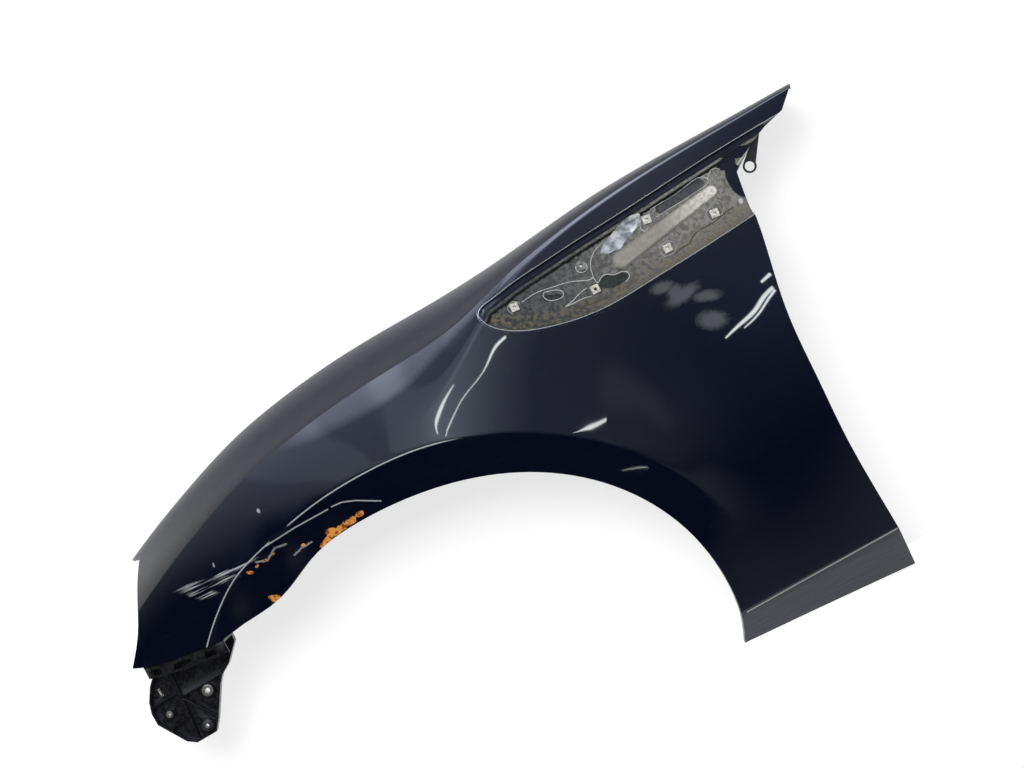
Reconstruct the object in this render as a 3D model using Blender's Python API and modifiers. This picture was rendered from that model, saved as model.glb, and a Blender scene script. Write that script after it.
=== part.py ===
"""Left front fender of a passenger car, with the fixings that are still on it.

The panel is drawn in a frame whose origin is the middle of the wheel: X runs to the
rear of the car, Y to its middle and Z up. An empty shifts every piece, so that the
part's origin is the bolt face under the bonnet ledge.
"""

import math

import bmesh
import bpy
import numpy as np
from mathutils import Matrix, Vector
from mathutils.geometry import delaunay_2d_cdt

MM = 0.001

# Sheet, clearances and mesh spacing
SHEET = 0.9 * MM
GAP = 0.3 * MM
BODY_STEP = 25 * MM
EDGE_STEP = 16 * MM
POCKET_STEP = 11.5 * MM
SLIVER = 1e-8
RIM_MARGIN = 3 * MM
CUT_LENGTH = 40 * MM
EDGE_ANGLE = 35

# Wheel arch, as a circle that grows by the second figure (mm) at each angle (degrees)
ARCH_RADIUS = 366 * MM
ARCH_START = -11
ARCH_END = 135.8
ARCH_GROWTH = ((-13, -18), (-3, -9), (7, -4), (20, 0), (60, -2), (90, 4), (104, 18),
               (118, 35), (131, 56), (136, 85))
CREASE_GROWTH = ((-12, 60), (36, 60), (53, 56), (66, 57), (82, 64), (97, 72), (110, 86),
                 (120, 102), (128, 119), (135, 126), (142, 130))
CREASE_ENDS = (4, 144)
CREASE_ROWS = (0, -11, 11)

# Flare above the arch: how far it stands out, fades outwards and tucks in below
FLARE_BULGE = 15 * MM
FLARE_REACH = 85 * MM
FLARE_TUCK = 0.32
FLARE_FADE = (12, 48)

# Outline of the side view, as x and z in mm from the middle of the wheel
NOSE_TIP = (-486, 479)
TAIL_TIP = (808, 681)
TAIL_LENGTH = 43
SILL_CORNER = (638, -82)
BONNET_LINE = (NOSE_TIP, (-465, 489), (-414, 512), (-339, 543), (-239, 579), (-141, 602),
               (-42, 617), (56, 625), (154, 630), (251, 639), (349, 652), (447, 665),
               (595, 674), (694, 677), TAIL_TIP)
NOSE_LENGTH = 33
NOSE_DROP = 2
HEADLIGHT_EDGE = ((NOSE_TIP[0] + NOSE_LENGTH, NOSE_TIP[1] - NOSE_DROP), (-467, 424), (-488, 369),
                  (-519, 327))
BUMPER_EDGE = ((-519, 327), (-501, 321), (-462, 314), (-413, 310), (-366, 306))
DOOR_EDGE = (SILL_CORNER, (632, -14), (624, 76), (620, 145), (621, 254), (625, 357),
             (637, 433), (650, 505), (655, 548), (661, 587))
NOTCH_EDGE = ((661, 587), (705, 618), (731, 630), (TAIL_TIP[0] - TAIL_LENGTH, 640), TAIL_TIP)

# Depth of the outer face: station or height in mm, then mm inboard
PLAN = ((-520, 74), (-400, 38), (-250, 12), (-100, 1), (50, 0), (200, 4), (330, 11),
        (450, 18), (600, 22), (830, 30))
LEAN_HEIGHT = 300 * MM
LEAN_RADIUS = 2000 * MM

# Roll over to the bonnet line: station, then its height or its depth inboard in mm
ROLL_HEIGHT = ((-520, 165), (-200, 170), (0, 168), (90, 150), (170, 105), (250, 60),
               (330, 40), (450, 31), (600, 23), (700, 19), (830, 14))
ROLL_DEPTH = ((-520, 150), (-200, 160), (0, 160), (250, 149), (450, 139), (690, 144),
              (830, 146))
ROLL_POWER = 2.3
ROLL_REACH = 0.965
ROLL_ROWS = (0.025, 0.08, 0.18, 0.34, 0.54, 0.78, 1.0)

# Hollow behind the arch, dents at the front and the strip above the sill
SCOOP_PLACE = (415 * MM, 350 * MM)
SCOOP_SIZE = (110 * MM, 130 * MM)
SCOOP_DEPTH = 9 * MM
DENTS = ((-222, 383, 34, 7), (-330, 352, 30, 5), (-150, 392, 30, 4), (-402, 352, 36, 4))
SILL_CREASE = ((362, -19), (627, -13))
SILL_SLOPE = 0.45
SILL_ROWS = (0, -9, 9)

# Recess for the side trim
POCKET_TOP = ((204, 569), (210, 576), (230, 582), (272, 590), (318, 596), (387, 604),
              (480, 613), (572, 623), (665, 632), (735, 637), (790, 640))
POCKET_FOOT = ((204, 569), (208, 555), (222, 537), (244, 522), (294, 504), (340, 495),
               (400, 492), (454, 496), (546, 504), (651, 515), (700, 520))
POCKET_DEPTH = ((204, 7), (300, 13), (420, 16), (800, 16))
POCKET_STEPS = ((0, 5, 0.5), (10, 14, 0.3), (18, 22, 0.2))
POCKET_FILLET = 15 * MM
POCKET_RINGS = (5, 14)
OWN_RING = 0.97
OTHER_RING = 0.6
BEAD = ((440, 546, 15), (612, 578, 10))
BEAD_HEIGHT = 6 * MM
CHANNEL = ((530, 589, 7.5), (600, 597, 9))
CHANNEL_DEPTH = 4 * MM
EMBOSSED = ((BEAD, (1, 0.5)), (CHANNEL, (1, 0.75)))
SLOT_PLACE = (319, 542)
SLOT_LENGTH = 30 * MM
SLOT_WIDTH = 9 * MM
SLOT_TURN = -20
POCKET_OPENING = ((392, 521), (391, 530), (398, 535), (410, 536), (419, 530), (432, 529),
                  (440, 521), (433, 515), (410, 513))

# Returned edges: how far each flange reaches inboard
BONNET_WALL = 19 * MM
BONNET_LEDGE = 27 * MM
EDGE_FLANGE = 17 * MM
HEM = 2.5 * MM
FLANGE_TAPER = 45 * MM

# Bolt faces on the bonnet ledge
DATUM_STATION = 150
PAD_STATIONS = (-270, -70, DATUM_STATION, 390, 630)
PAD_LENGTH = 44 * MM
PAD_HOLE = 9 * MM
HOLE_OFFSET = 10 * MM

# Trim clips in the recess: x, z and turn in degrees
CLIPS = ((260, 555, -4), (383, 524, 0), (503, 584, -8), (511, 530, 0), (600, 545, -4))
CLIP_HEAD = 13.5 * MM
CLIP_HEIGHT = 3 * MM
CLIP_STEM = 7.6 * MM
CLIP_LENGTH = 9 * MM
CLIP_WALL = 1.6 * MM
CLIP_BEVEL = 0.8 * MM
CLIP_SEAT = 0.8 * MM
FACE_REACH = 3 * MM
GROMMET_PLACE = (380, 566)
GROMMET_RADIUS = 8.5 * MM
GROMMET_BORE = 2.6 * MM
GROMMET_STEM = 5 * MM
GROMMET_LENGTH = 6 * MM
GROMMET_HEIGHT = 3 * MM
GROMMET_EDGE = 1.4 * MM

# Bumper bracket: its side view below the shelf, in mm, and its depth
BRACKET_OUTLINE = ((-502, 300), (-512, 289), (-524, 268), (-529, 250), (-528, 230),
                   (-499, 187), (-485, 178), (-451, 180), (-439, 197), (-413, 242),
                   (-403, 255), (-386, 266), (-362, 293))
BRACKET_FACE = 84 * MM
BRACKET_DEPTH = 15 * MM
BRACKET_WALL = 2.6 * MM
BRACKET_FLOOR = 2.8 * MM
TRAY_MOUTH = 5 * MM
SHELF_ENDS = (-502, -362)
SHELF_STATIONS = 11
SHELF_SETBACK = 3 * MM
SHELF_WALL = 2.6 * MM
RAIL_HEIGHT = 20 * MM
RAIL_SETBACK = 3 * MM
RAIL_WINDOWS = ((-484, 14), (-438, 32), (-389, 19))
WINDOW_HEIGHT = 9 * MM
RIB_WALL = 2.2 * MM
RIBS = (((-473, 314), (-480, 180), 0), ((-477, 251), (-439, 200), 2),
        ((-476, 252), (-404, 257), 3), ((-525, 257), (-476, 262), 2),
        ((-513, 214), (-477, 221), 2), ((-474, 287), (-369, 288), 5))

# Fixings in the bracket: places, radii in the bores, their own bores and their lips
SLEEVE_PLACE = (-436, 243)
SLEEVE_RADIUS = 8 * MM
SLEEVE_BORE = 4 * MM
NUT_PLACE = (-461, 194)
NUT_RADIUS = 8 * MM
NUT_BORE = 3.4 * MM
INSERT_PLACE = (-506, 236)
INSERT_RADIUS = 4.2 * MM
INSERT_BORE = 2 * MM
LIP_WIDTH = 1.1 * MM
SLEEVE = (SLEEVE_PLACE, SLEEVE_RADIUS, SLEEVE_BORE)
NUT = (NUT_PLACE, NUT_RADIUS, NUT_BORE)
INSERT = (INSERT_PLACE, INSERT_RADIUS, INSERT_BORE)
BOSS_WALL = 2.6 * MM
BOSS_HEIGHT = 9 * MM
NUT_HEX = 6.6 * MM
NUT_HEX_HEIGHT = 2.7 * MM
LIP_HEIGHT = 1.2 * MM
FIXING_TAIL = 1 * MM
RIVETS = (-464, -412)
RIVET_SHARE = 0.68
RIVET_RADIUS = 2.4 * MM
RIVET_HEAD = 5 * MM
RIVET_SEAT = 5 * MM
RIVET_HEAD_HEIGHT = 1.8 * MM
RIVET_GRIP = 4.2 * MM
RIVET_TAIL = 4 * MM
RIVET_BORE = 1.1 * MM
SPRING_PLACE = (-505, 272)
SPRING_TURN = 8
SPRING_LENGTH = 12 * MM
SPRING_WIDTH = 3.4 * MM
SPRING_REACH = 7 * MM
SPRING_WALL = 0.8 * MM
SPRING_END = 2.5 * MM

# Rear bracket with its eyelet
EYELET = (687, 587)
EYELET_RADIUS = 11 * MM
EYELET_BORE = 7.6 * MM
EYELET_PLATE = 2.2 * MM
EYELET_ARC = (125, 385, 20)
FOOT_LENGTH = 20 * MM
FOOT_SETBACK = 4 * MM
ROUND_SIDES = 20


def spline(pairs, scale=MM):
    """Give a natural cubic curve through a few (station, value) pairs in mm."""
    xs, ys = np.array(pairs, float).T * scale
    gap = np.diff(xs)
    count = len(xs)
    system = np.eye(count)
    bend = np.zeros(count)
    for i in range(1, count - 1):
        system[i, i - 1:i + 2] = gap[i - 1], 2 * (gap[i - 1] + gap[i]), gap[i]
        bend[i] = 6 * ((ys[i + 1] - ys[i]) / gap[i] - (ys[i] - ys[i - 1]) / gap[i - 1])
    bend = np.linalg.solve(system, bend)

    def at(x):
        x = np.clip(x, xs[0], xs[-1])
        i = np.clip(np.searchsorted(xs, x) - 1, 0, count - 2)
        a = (xs[i + 1] - x) / gap[i]
        b = 1 - a
        return (a * ys[i] + b * ys[i + 1]
                + ((a ** 3 - a) * bend[i] + (b ** 3 - b) * bend[i + 1]) * gap[i] ** 2 / 6)
    return at


def growth(pairs):
    """Give a smooth radius over the wheel's angle from (degrees, mm of growth)."""
    degrees = spline([(angle, mm) for angle, mm in pairs], 1.0)
    return lambda angle: ARCH_RADIUS + degrees(angle) * MM


def trace(points, step):
    """Resample a smooth curve through points in mm at about the given step."""
    points = np.array(points, float) * MM
    run = np.concatenate(([0], np.cumsum(np.hypot(*np.diff(points, axis=0).T))))
    count = max(2, round(run[-1] / step) + 1)
    at = np.linspace(0, run[-1], count)
    return np.column_stack([spline(np.column_stack((run, points[:, k])), 1.0)(at) for k in (0, 1)])


def distance(path, x, z):
    """Give the distance from points to an open path."""
    nearest = np.full(np.shape(x), np.inf)
    for (ax, az), (bx, bz) in zip(path[:-1], path[1:]):
        dx, dz = bx - ax, bz - az
        t = np.clip(((x - ax) * dx + (z - az) * dz) / (dx * dx + dz * dz), 0, 1)
        nearest = np.minimum(nearest, np.hypot(x - ax - t * dx, z - az - t * dz))
    return nearest


def inside(loop, x, z):
    """Tell which points lie in a closed outline."""
    hit = np.zeros(np.shape(x), bool)
    for (ax, az), (bx, bz) in zip(loop, np.roll(loop, -1, axis=0)):
        if az != bz:
            hit ^= ((az > z) != (bz > z)) & (x < (bx - ax) * (z - az) / (bz - az) + ax)
    return hit


def ease(t):
    """Rise smoothly from 0 to 1."""
    t = np.clip(t, 0, 1)
    return t * t * (3 - 2 * t)


bonnet_height = spline(BONNET_LINE)
plan_depth = spline(PLAN)
roll_height = spline(ROLL_HEIGHT)
roll_depth = spline(ROLL_DEPTH)
arch_radius = growth(ARCH_GROWTH)
crease_radius = growth(CREASE_GROWTH)
pocket_depth = spline(POCKET_DEPTH)
sill_height = spline(SILL_CREASE)
bumper_height = spline(BUMPER_EDGE)
pocket_top = trace(POCKET_TOP, POCKET_STEP)
pocket_foot = trace(POCKET_FOOT, POCKET_STEP)
pocket_loop = np.vstack((pocket_top, pocket_foot[::-1]))


def capsule(ends, x, z):
    """Give how deep points lie in a tapered capsule, 1 on its axis and 0 at its rim."""
    (ax, az, ar), (bx, bz, br) = np.array(ends, float) * MM
    dx, dz = bx - ax, bz - az
    t = np.clip(((x - ax) * dx + (z - az) * dz) / (dx * dx + dz * dz), 0, 1)
    reach = np.hypot(x - ax - t * dx, z - az - t * dz) / (ar + t * (br - ar))
    return np.clip(1 - reach * reach, 0, 1)


def pocket(x, z):
    """Sink of the trim recess, with its stepped upper wall and its embossed shapes."""
    from_top = distance(pocket_top, x, z)
    from_foot = distance(pocket_foot, x, z)
    steps = sum(ease((from_top / MM - start) / (end - start)) * share
                for start, end, share in POCKET_STEPS)
    foot = 1 - (1 - np.clip(from_foot / POCKET_FILLET, 0, 1)) ** 2
    depth = pocket_depth(x) * steps * foot
    depth = depth - BEAD_HEIGHT * capsule(BEAD, x, z)
    depth = depth + CHANNEL_DEPTH * ease(2.5 * capsule(CHANNEL, x, z))
    return np.where(inside(pocket_loop, x, z), depth, 0)


def roll_over(x, z):
    """How far the skin turns inboard below the bonnet line."""
    rise = np.clip((bonnet_height(x) - z) / roll_height(x), 0, 1)
    turn = ROLL_REACH * (1 - rise)
    full = 1 - (1 - ROLL_REACH ** ROLL_POWER) ** (1 / ROLL_POWER)
    return roll_depth(x) * (1 - (1 - turn ** ROLL_POWER) ** (1 / ROLL_POWER)) / full


def skin(x, z):
    """Depth of the outer face, inboard of the panel's widest plane."""
    depth = plan_depth(x) + (z - LEAN_HEIGHT) ** 2 / (2 * LEAN_RADIUS) + roll_over(x, z)

    angle = np.degrees(np.arctan2(z, x))
    beyond = np.hypot(x, z) - crease_radius(angle)
    strength = ease((angle - FLARE_FADE[0]) / (FLARE_FADE[1] - FLARE_FADE[0]))
    flare = np.where(beyond > 0, -FLARE_BULGE * np.exp(-np.abs(beyond) / FLARE_REACH),
                     -FLARE_BULGE - FLARE_TUCK * beyond)
    depth += strength * flare

    across = (x - SCOOP_PLACE[0]) / SCOOP_SIZE[0]
    upward = (z - SCOOP_PLACE[1]) / SCOOP_SIZE[1]
    depth += SCOOP_DEPTH * np.exp(-across ** 2 - upward ** 2)
    for dent_x, dent_z, radius, sink in np.array(DENTS) * MM:
        depth += sink * np.exp(-((x - dent_x) ** 2 + (z - dent_z) ** 2) / radius ** 2)

    depth += np.where(x > 0, SILL_SLOPE * np.clip(sill_height(x) - z, 0, None), 0)
    return depth + pocket(x, z)


def bonnet_stations():
    """Stations along the bonnet line, with both ends of each bolt face among them."""
    first, last = BONNET_LINE[0][0] * MM, BONNET_LINE[-1][0] * MM
    stations = list(np.linspace(first, last, round((last - first) / BODY_STEP) + 1))
    for middle in PAD_STATIONS:
        ends = (middle * MM - PAD_LENGTH / 2, middle * MM + PAD_LENGTH / 2)
        stations = [x for x in stations if min(abs(x - end) for end in ends) > BODY_STEP / 3]
        stations.extend(ends)
    return np.array(sorted(stations))


def pad_blend(x):
    """Give the middle of the nearest bolt face and whether a station lies on it."""
    middle = min(PAD_STATIONS, key=lambda station: abs(station * MM - x)) * MM
    return middle, abs(x - middle) <= PAD_LENGTH / 2 + 1e-6


def arch_edge(step):
    """The arch from its rear foot over the wheel to the bumper edge."""
    count = round(math.radians(ARCH_END - ARCH_START) * ARCH_RADIUS / step)
    angles = np.linspace(ARCH_START, ARCH_END, count)
    radius = arch_radius(angles)
    return np.column_stack((radius * np.cos(np.radians(angles)), radius * np.sin(np.radians(angles))))


def panel_outline():
    """The side view's edge, anticlockwise with z up, and what each stretch is."""
    stations = bonnet_stations()[::-1]
    door_side = trace(DOOR_EDGE, EDGE_STEP)
    bottom_count = round((door_side[0][0] - arch_edge(EDGE_STEP)[0][0]) / EDGE_STEP)
    runs = (
        ("bonnet", np.column_stack((stations, bonnet_height(stations)))),
        ("headlight", trace(HEADLIGHT_EDGE, EDGE_STEP)),
        ("bumper", trace(BUMPER_EDGE, EDGE_STEP)),
        ("arch", arch_edge(EDGE_STEP)[::-1]),
        ("bottom", np.linspace(arch_edge(EDGE_STEP)[0], door_side[0], bottom_count)),
        ("door", door_side),
        ("notch", np.array(NOTCH_EDGE, float) * MM),
    )
    points, kinds = [], []
    for kind, run in runs:
        start = 1 if kind in ("bumper", "bottom", "door", "notch") else 0
        for point in run[start:]:
            points.append(point)
            kinds.append(kind)
    return np.array(points[:-1]), kinds[:-1]


def square_hole(place, size, turn):
    """Four corners of a square hole in the side view."""
    corners = []
    for across, up in ((-1, -1), (1, -1), (1, 1), (-1, 1)):
        corner = Matrix.Rotation(math.radians(turn), 2) @ Vector((across, up)) * size / 2
        corners.append((place[0] * MM + corner.x, place[1] * MM + corner.y))
    return np.array(corners)


def ring_hole(place, radius, count=12):
    """A round hole in the side view that a pin of the radius fits."""
    turns = np.linspace(0, 2 * math.pi, count, endpoint=False)
    radius = radius / math.cos(math.pi / count)
    return np.array(place) * MM + np.column_stack((radius * np.cos(turns), radius * np.sin(turns)))


def slot_hole(place, length, width, turn, count=5):
    """A slot with round ends in the side view."""
    points = []
    for end in (0, 1):
        for k in range(count):
            angle = math.pi * (end + k / (count - 1)) - math.pi / 2
            across = (length - width) / 2 * (1 - 2 * end) + width / 2 * math.cos(angle)
            up = width / 2 * math.sin(angle)
            point = Matrix.Rotation(math.radians(turn), 2) @ Vector((across, up))
            points.append((place[0] * MM + point.x, place[1] * MM + point.y))
    return np.array(points)


def panel_holes():
    """Openings in the recess, each as a loop in the side view."""
    holes = [slot_hole(SLOT_PLACE, SLOT_LENGTH, SLOT_WIDTH, SLOT_TURN)]
    holes.append(np.array(POCKET_OPENING, float)[::-1] * MM)
    holes.append(ring_hole(GROMMET_PLACE, GROMMET_STEM + GAP))
    holes.extend(square_hole((x, z), CLIP_STEM + 2 * GAP, turn) for x, z, turn in CLIPS)
    return holes


def beside(path, side):
    """Shift an open path sideways."""
    along = np.gradient(path, axis=0)
    along /= np.hypot(*along.T)[:, None]
    return path + np.column_stack((-along[:, 1], along[:, 0])) * side


def capsule_rim(ends, share=1.0, count=6):
    """A closed line at a share of a tapered capsule's half width."""
    (ax, az, ar), (bx, bz, br) = np.array(ends, float) * MM
    lean = math.atan2(bz - az, bx - ax)
    rim = []
    for x, z, radius, start in ((bx, bz, br, -0.5), (ax, az, ar, 0.5)):
        turns = lean + math.pi * (start + np.linspace(0, 1, count))
        rim.extend(zip(x + share * radius * np.cos(turns), z + share * radius * np.sin(turns)))
    steps = []
    for (px, pz), (qx, qz) in zip(rim, rim[1:] + rim[:1]):
        pieces = max(1, round(math.hypot(qx - px, qz - pz) / POCKET_STEP))
        steps.extend((px + (qx - px) * k / pieces, pz + (qz - pz) * k / pieces) for k in range(pieces))
    return np.array(steps + steps[:1])


def guide_lines():
    """Creases and rows that the panel's mesh follows, with the points to keep of each."""
    turns = np.radians(np.arange(*CREASE_ENDS, math.degrees(EDGE_STEP / ARCH_RADIUS)))

    def around(shift):
        radius = crease_radius(np.degrees(turns)) + shift * MM
        return np.column_stack((radius * np.cos(turns), radius * np.sin(turns)))

    crease = around(0)
    sill_ends = SILL_CREASE[0][0] * MM - EDGE_STEP, SILL_CREASE[1][0] * MM + EDGE_STEP
    sill = np.arange(*sill_ends, EDGE_STEP)
    lines = [(around(row), True) for row in CREASE_ROWS]
    lines += [(np.column_stack((sill, sill_height(sill) + row * MM)), True) for row in SILL_ROWS]
    lines += [(pocket_top, True), (pocket_foot[1:], True)]
    for ring in np.array(POCKET_RINGS) * MM:
        for path, other, side in ((pocket_top, pocket_foot, -ring), (pocket_foot, pocket_top, ring)):
            line = beside(path, side)
            unfolded = distance(path, *line.T) > OWN_RING * ring
            apart = distance(other, *line.T) > OTHER_RING * ring
            lines.append((line, unfolded & apart & inside(pocket_loop, *line.T)))
    lines += [(capsule_rim(ends, share), True) for ends, shares in EMBOSSED for share in shares]
    stations = bonnet_stations()
    for row in ROLL_ROWS:
        line = np.column_stack((stations, bonnet_height(stations) - row * roll_height(stations)))
        clear = distance(crease, *line.T) > EDGE_STEP
        lines.append((line, clear & ~inside(pocket_loop, *line.T)))
    return lines


def crossing(start, end, outline):
    """Where a step first crosses the outline: the edge's number and the point."""
    step = end - start
    edge = np.roll(outline, -1, axis=0) - outline
    gap = outline - start
    turn = step[0] * edge[:, 1] - step[1] * edge[:, 0]
    turn = np.where(np.abs(turn) < 1e-15, 1e-15, turn)
    along = (gap[:, 0] * edge[:, 1] - gap[:, 1] * edge[:, 0]) / turn
    across = (gap[:, 0] * step[1] - gap[:, 1] * step[0]) / turn
    hit = (along >= 0) & (along <= 1) & (across >= 0) & (across <= 1)
    number = int(np.argmin(np.where(hit, along, np.inf)))
    return number, start + step * along[number]


def meet_outline(outline, kinds, lines):
    """Cut the guide lines at the outline, and give it a point where each one ends."""
    closed = np.vstack((outline, outline[:1]))
    pieces, ends = [], []
    for line, keep in lines:
        within = inside(outline, *line.T)
        keep = keep & within & (distance(closed, *line.T) > RIM_MARGIN)
        piece = []
        for i in range(len(line)):
            if keep[i]:
                if not piece and i > 0 and not within[i - 1]:
                    number, point = crossing(line[i], line[i - 1], outline)
                    ends.append((number, point))
                    piece.append(point)
                piece.append(line[i])
            leaving = keep[i] and i + 1 < len(line) and not within[i + 1]
            if leaving:
                number, point = crossing(line[i], line[i + 1], outline)
                ends.append((number, point))
                piece.append(point)
            if piece and (leaving or not keep[i] or i + 1 == len(line)):
                pieces.append(np.array(piece))
                piece = []
    points, sorts = [], []
    for i, (corner, kind) in enumerate(zip(outline, kinds)):
        points.append(corner)
        sorts.append(kind)
        inner = [point for number, point in ends if number == i]
        span = outline[(i + 1) % len(outline)] - corner
        for point in sorted(inner, key=lambda place: float(np.dot(place - corner, span))):
            following = outline[(i + 1) % len(outline)]
            if min(np.hypot(*(point - points[-1])), np.hypot(*(point - following))) > MM:
                points.append(point)
                sorts.append(kind if kind != "bonnet" else kinds[(i + 1) % len(outline)])
    points = np.array(points)
    for piece in pieces:
        for end in (0, -1):
            away = np.hypot(*(points - piece[end]).T)
            if away.min() < 1.01 * MM:
                piece[end] = points[np.argmin(away)]
    return points, sorts, pieces


def fill_points(outline, holes, lines):
    """Points between the guide lines, close together in the recess and wide elsewhere."""
    rings = [np.vstack((loop, loop[:1])) for loop in (outline, *holes)]
    paths = rings + lines

    def lattice(step, keep):
        low, high = outline.min(axis=0), outline.max(axis=0)
        row_step = step * math.sin(math.radians(60))
        xs, zs = np.meshgrid(np.arange(low[0], high[0], step), np.arange(low[1], high[1], row_step))
        xs = xs + (np.arange(len(xs)) % 2)[:, None] * step / 2
        x, z = xs.ravel(), zs.ravel()
        wanted = inside(outline, x, z) & keep(x, z)
        for loop in [*holes, *[capsule_rim(ends) for ends, _ in EMBOSSED]]:
            wanted &= ~inside(loop, x, z)
        x, z = x[wanted], z[wanted]
        room = np.min([distance(path, x, z) for path in paths], axis=0)
        clear = room > step / 2
        return np.column_stack((x[clear], z[clear]))

    def below_roll(x, z):
        return (z < bonnet_height(x) - roll_height(x)) & ~inside(pocket_loop, x, z)

    return np.vstack((lattice(BODY_STEP, below_roll),
                      lattice(POCKET_STEP, lambda x, z: inside(pocket_loop, x, z))))


def flat_panel():
    """Points and triangles of the side view, with its outline's points and their kinds."""
    outline, kinds, lines = meet_outline(*panel_outline(), guide_lines())
    holes = panel_holes()
    points = [Vector(point) for point in outline]
    edges = [(i, (i + 1) % len(outline)) for i in range(len(outline))]
    for hole in holes:
        start = len(points)
        points.extend(Vector(point) for point in hole)
        edges.extend((start + i, start + (i + 1) % len(hole)) for i in range(len(hole)))
    for line in lines:
        start = len(points)
        points.extend(Vector(point) for point in line)
        edges.extend((i, i + 1) for i in range(start, len(points) - 1))
    points.extend(Vector(point) for point in fill_points(outline, holes, lines))
    flat, _, faces, sources, _, _ = delaunay_2d_cdt(points, edges, [], 0, 1e-6)
    flat = np.array([tuple(point) for point in flat])
    corners = flat[np.array(faces)]
    middles = corners.mean(axis=1)
    sides = corners[:, 1:] - corners[:, :1]
    area = np.abs(sides[:, 0, 0] * sides[:, 1, 1] - sides[:, 0, 1] * sides[:, 1, 0]) / 2
    wanted = inside(outline, *middles.T) & (area > SLIVER)
    for hole in holes:
        wanted &= ~inside(hole, *middles.T)
    faces = [face for face, keep in zip(faces, wanted) if keep]
    place = {source: i for i, group in enumerate(sources) for source in group}
    rim = [place[i] for i in range(len(outline))]
    return flat, faces, rim, kinds


def flange_rows(point, depth, kind, room):
    """Two further points of the returned edge at one point of the outline.

    It stands inboard, and where the skin has rolled over flat it stands down from it.
    """
    x, z = point
    share = float(ease(room / FLANGE_TAPER))
    if kind != "bonnet":
        slope = float(roll_over(x, z + HEM) - roll_over(x, z - HEM)) / (2 * HEM)
        lean = math.atan(slope) * float(ease(slope - 1))
        reach = HEM + share * (EDGE_FLANGE - HEM)
        inboard, down = reach * math.cos(lean), reach * math.sin(lean)
        return (x, depth + inboard / 2, z - down / 2), (x, depth + inboard, z - down)
    middle, on_pad = pad_blend(x)
    level = bonnet_height(middle) if on_pad else z
    wall = HEM / 2 + share * (BONNET_WALL - HEM / 2) - (level - z)
    ledge = HEM / 2 + share * (BONNET_LEDGE - HEM / 2)
    return (x, depth + HEM / 2, z - wall), (x, depth + HEM / 2 + ledge, z - wall)


def edge_room(outline, kinds):
    """Width of the panel at each outline point, across its pointed ends."""
    on_bonnet = np.array(kinds) == "bonnet"
    count = int(on_bonnet.sum())
    bonnet, rest = outline[:count], np.vstack((outline[count - 1:], outline[:1]))
    return np.where(on_bonnet, distance(rest, *outline.T), distance(bonnet, *outline.T))


def panel_surface():
    """Vertices and faces of the outer face with its returned edges."""
    flat, faces, rim, kinds = flat_panel()
    depth = skin(flat[:, 0], flat[:, 1])
    verts = [(x, y, z) for (x, z), y in zip(flat, depth)]
    faces = [tuple(face) for face in faces]
    outline = flat[rim]
    room = edge_room(outline, kinds)
    rows = [rim, [], []]
    for i, index in enumerate(rim):
        first, second = flange_rows(flat[index], depth[index], kinds[i], room[i])
        for row, point in zip(rows[1:], (first, second)):
            row.append(len(verts))
            verts.append(point)
    for near, far in zip(rows, rows[1:]):
        for i in range(len(rim)):
            k = (i + 1) % len(rim)
            faces.append((near[k], near[i], far[i], far[k]))
    return verts, faces


def clear_scene():
    for thing in list(bpy.data.objects):
        bpy.data.objects.remove(thing)


def material(name, colour, roughness, metallic=0.0, coat=0.0):
    """A plain Principled material."""
    made = bpy.data.materials.get(name) or bpy.data.materials.new(name)
    made.use_nodes = True
    shader = made.node_tree.nodes["Principled BSDF"]
    shader.inputs["Base Color"].default_value = (*colour, 1)
    shader.inputs["Roughness"].default_value = roughness
    shader.inputs["Metallic"].default_value = metallic
    shader.inputs["Coat Weight"].default_value = coat
    return made


def add_object(name, mesh, collection, matrix=None):
    """Add a mesh in the wheel's frame."""
    thing = bpy.data.objects.new(name, mesh)
    collection.objects.link(thing)
    thing.parent = bpy.data.objects["wheel_frame"]
    thing.matrix_local = matrix or Matrix()
    return thing


def make_mesh(name, verts, faces):
    mesh = bpy.data.meshes.new(name)
    mesh.from_pydata(verts, [], faces)
    mesh.update()
    return mesh


def solidify(thing, thickness):
    """Thicken a sheet to the side away from its normals."""
    sheet = thing.modifiers.new("Sheet", "SOLIDIFY")
    sheet.thickness = thickness
    sheet.offset = -1
    sheet.use_even_offset = True


def boolean(thing, other, operation):
    """Cut or join with another object, which is then only a guide."""
    step = thing.modifiers.new(other.name, "BOOLEAN")
    step.operation = operation
    step.object = other
    other.hide_render = True
    other.display_type = "WIRE"


def cylinders(name, places, collection, sides=ROUND_SIDES):
    """One mesh of cylinders, each a (radius, depth, matrix) that pins of the radius fit."""
    shape = bmesh.new()
    for radius, depth, place in places:
        radius = radius / math.cos(math.pi / sides)
        bmesh.ops.create_cone(shape, cap_ends=True, segments=sides, radius1=radius, radius2=radius,
                              depth=depth, matrix=place)
    mesh = bpy.data.meshes.new(name)
    shape.to_mesh(mesh)
    shape.free()
    return add_object(name, mesh, collection)


def box(name, size, matrix, collection):
    shape = bmesh.new()
    bmesh.ops.create_cube(shape, size=1)
    bmesh.ops.scale(shape, vec=size, verts=shape.verts)
    mesh = bpy.data.meshes.new(name)
    shape.to_mesh(mesh)
    shape.free()
    return add_object(name, mesh, collection, matrix)


def turned(name, profile, matrix, collection, sides=ROUND_SIDES):
    """A piece turned about its Z axis from a closed (radius, height) loop, outer side first."""
    mesh = bpy.data.meshes.new(name)
    count = len(profile)
    mesh.from_pydata([(radius, 0, height) for radius, height in profile],
                     [(i, (i + 1) % count) for i in range(count)], [])
    piece = add_object(name, mesh, collection, matrix)
    screw = piece.modifiers.new("Turn", "SCREW")
    screw.steps = sides
    screw.render_steps = sides
    screw.use_merge_vertices = True
    screw.merge_threshold = 1e-5
    return piece


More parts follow.
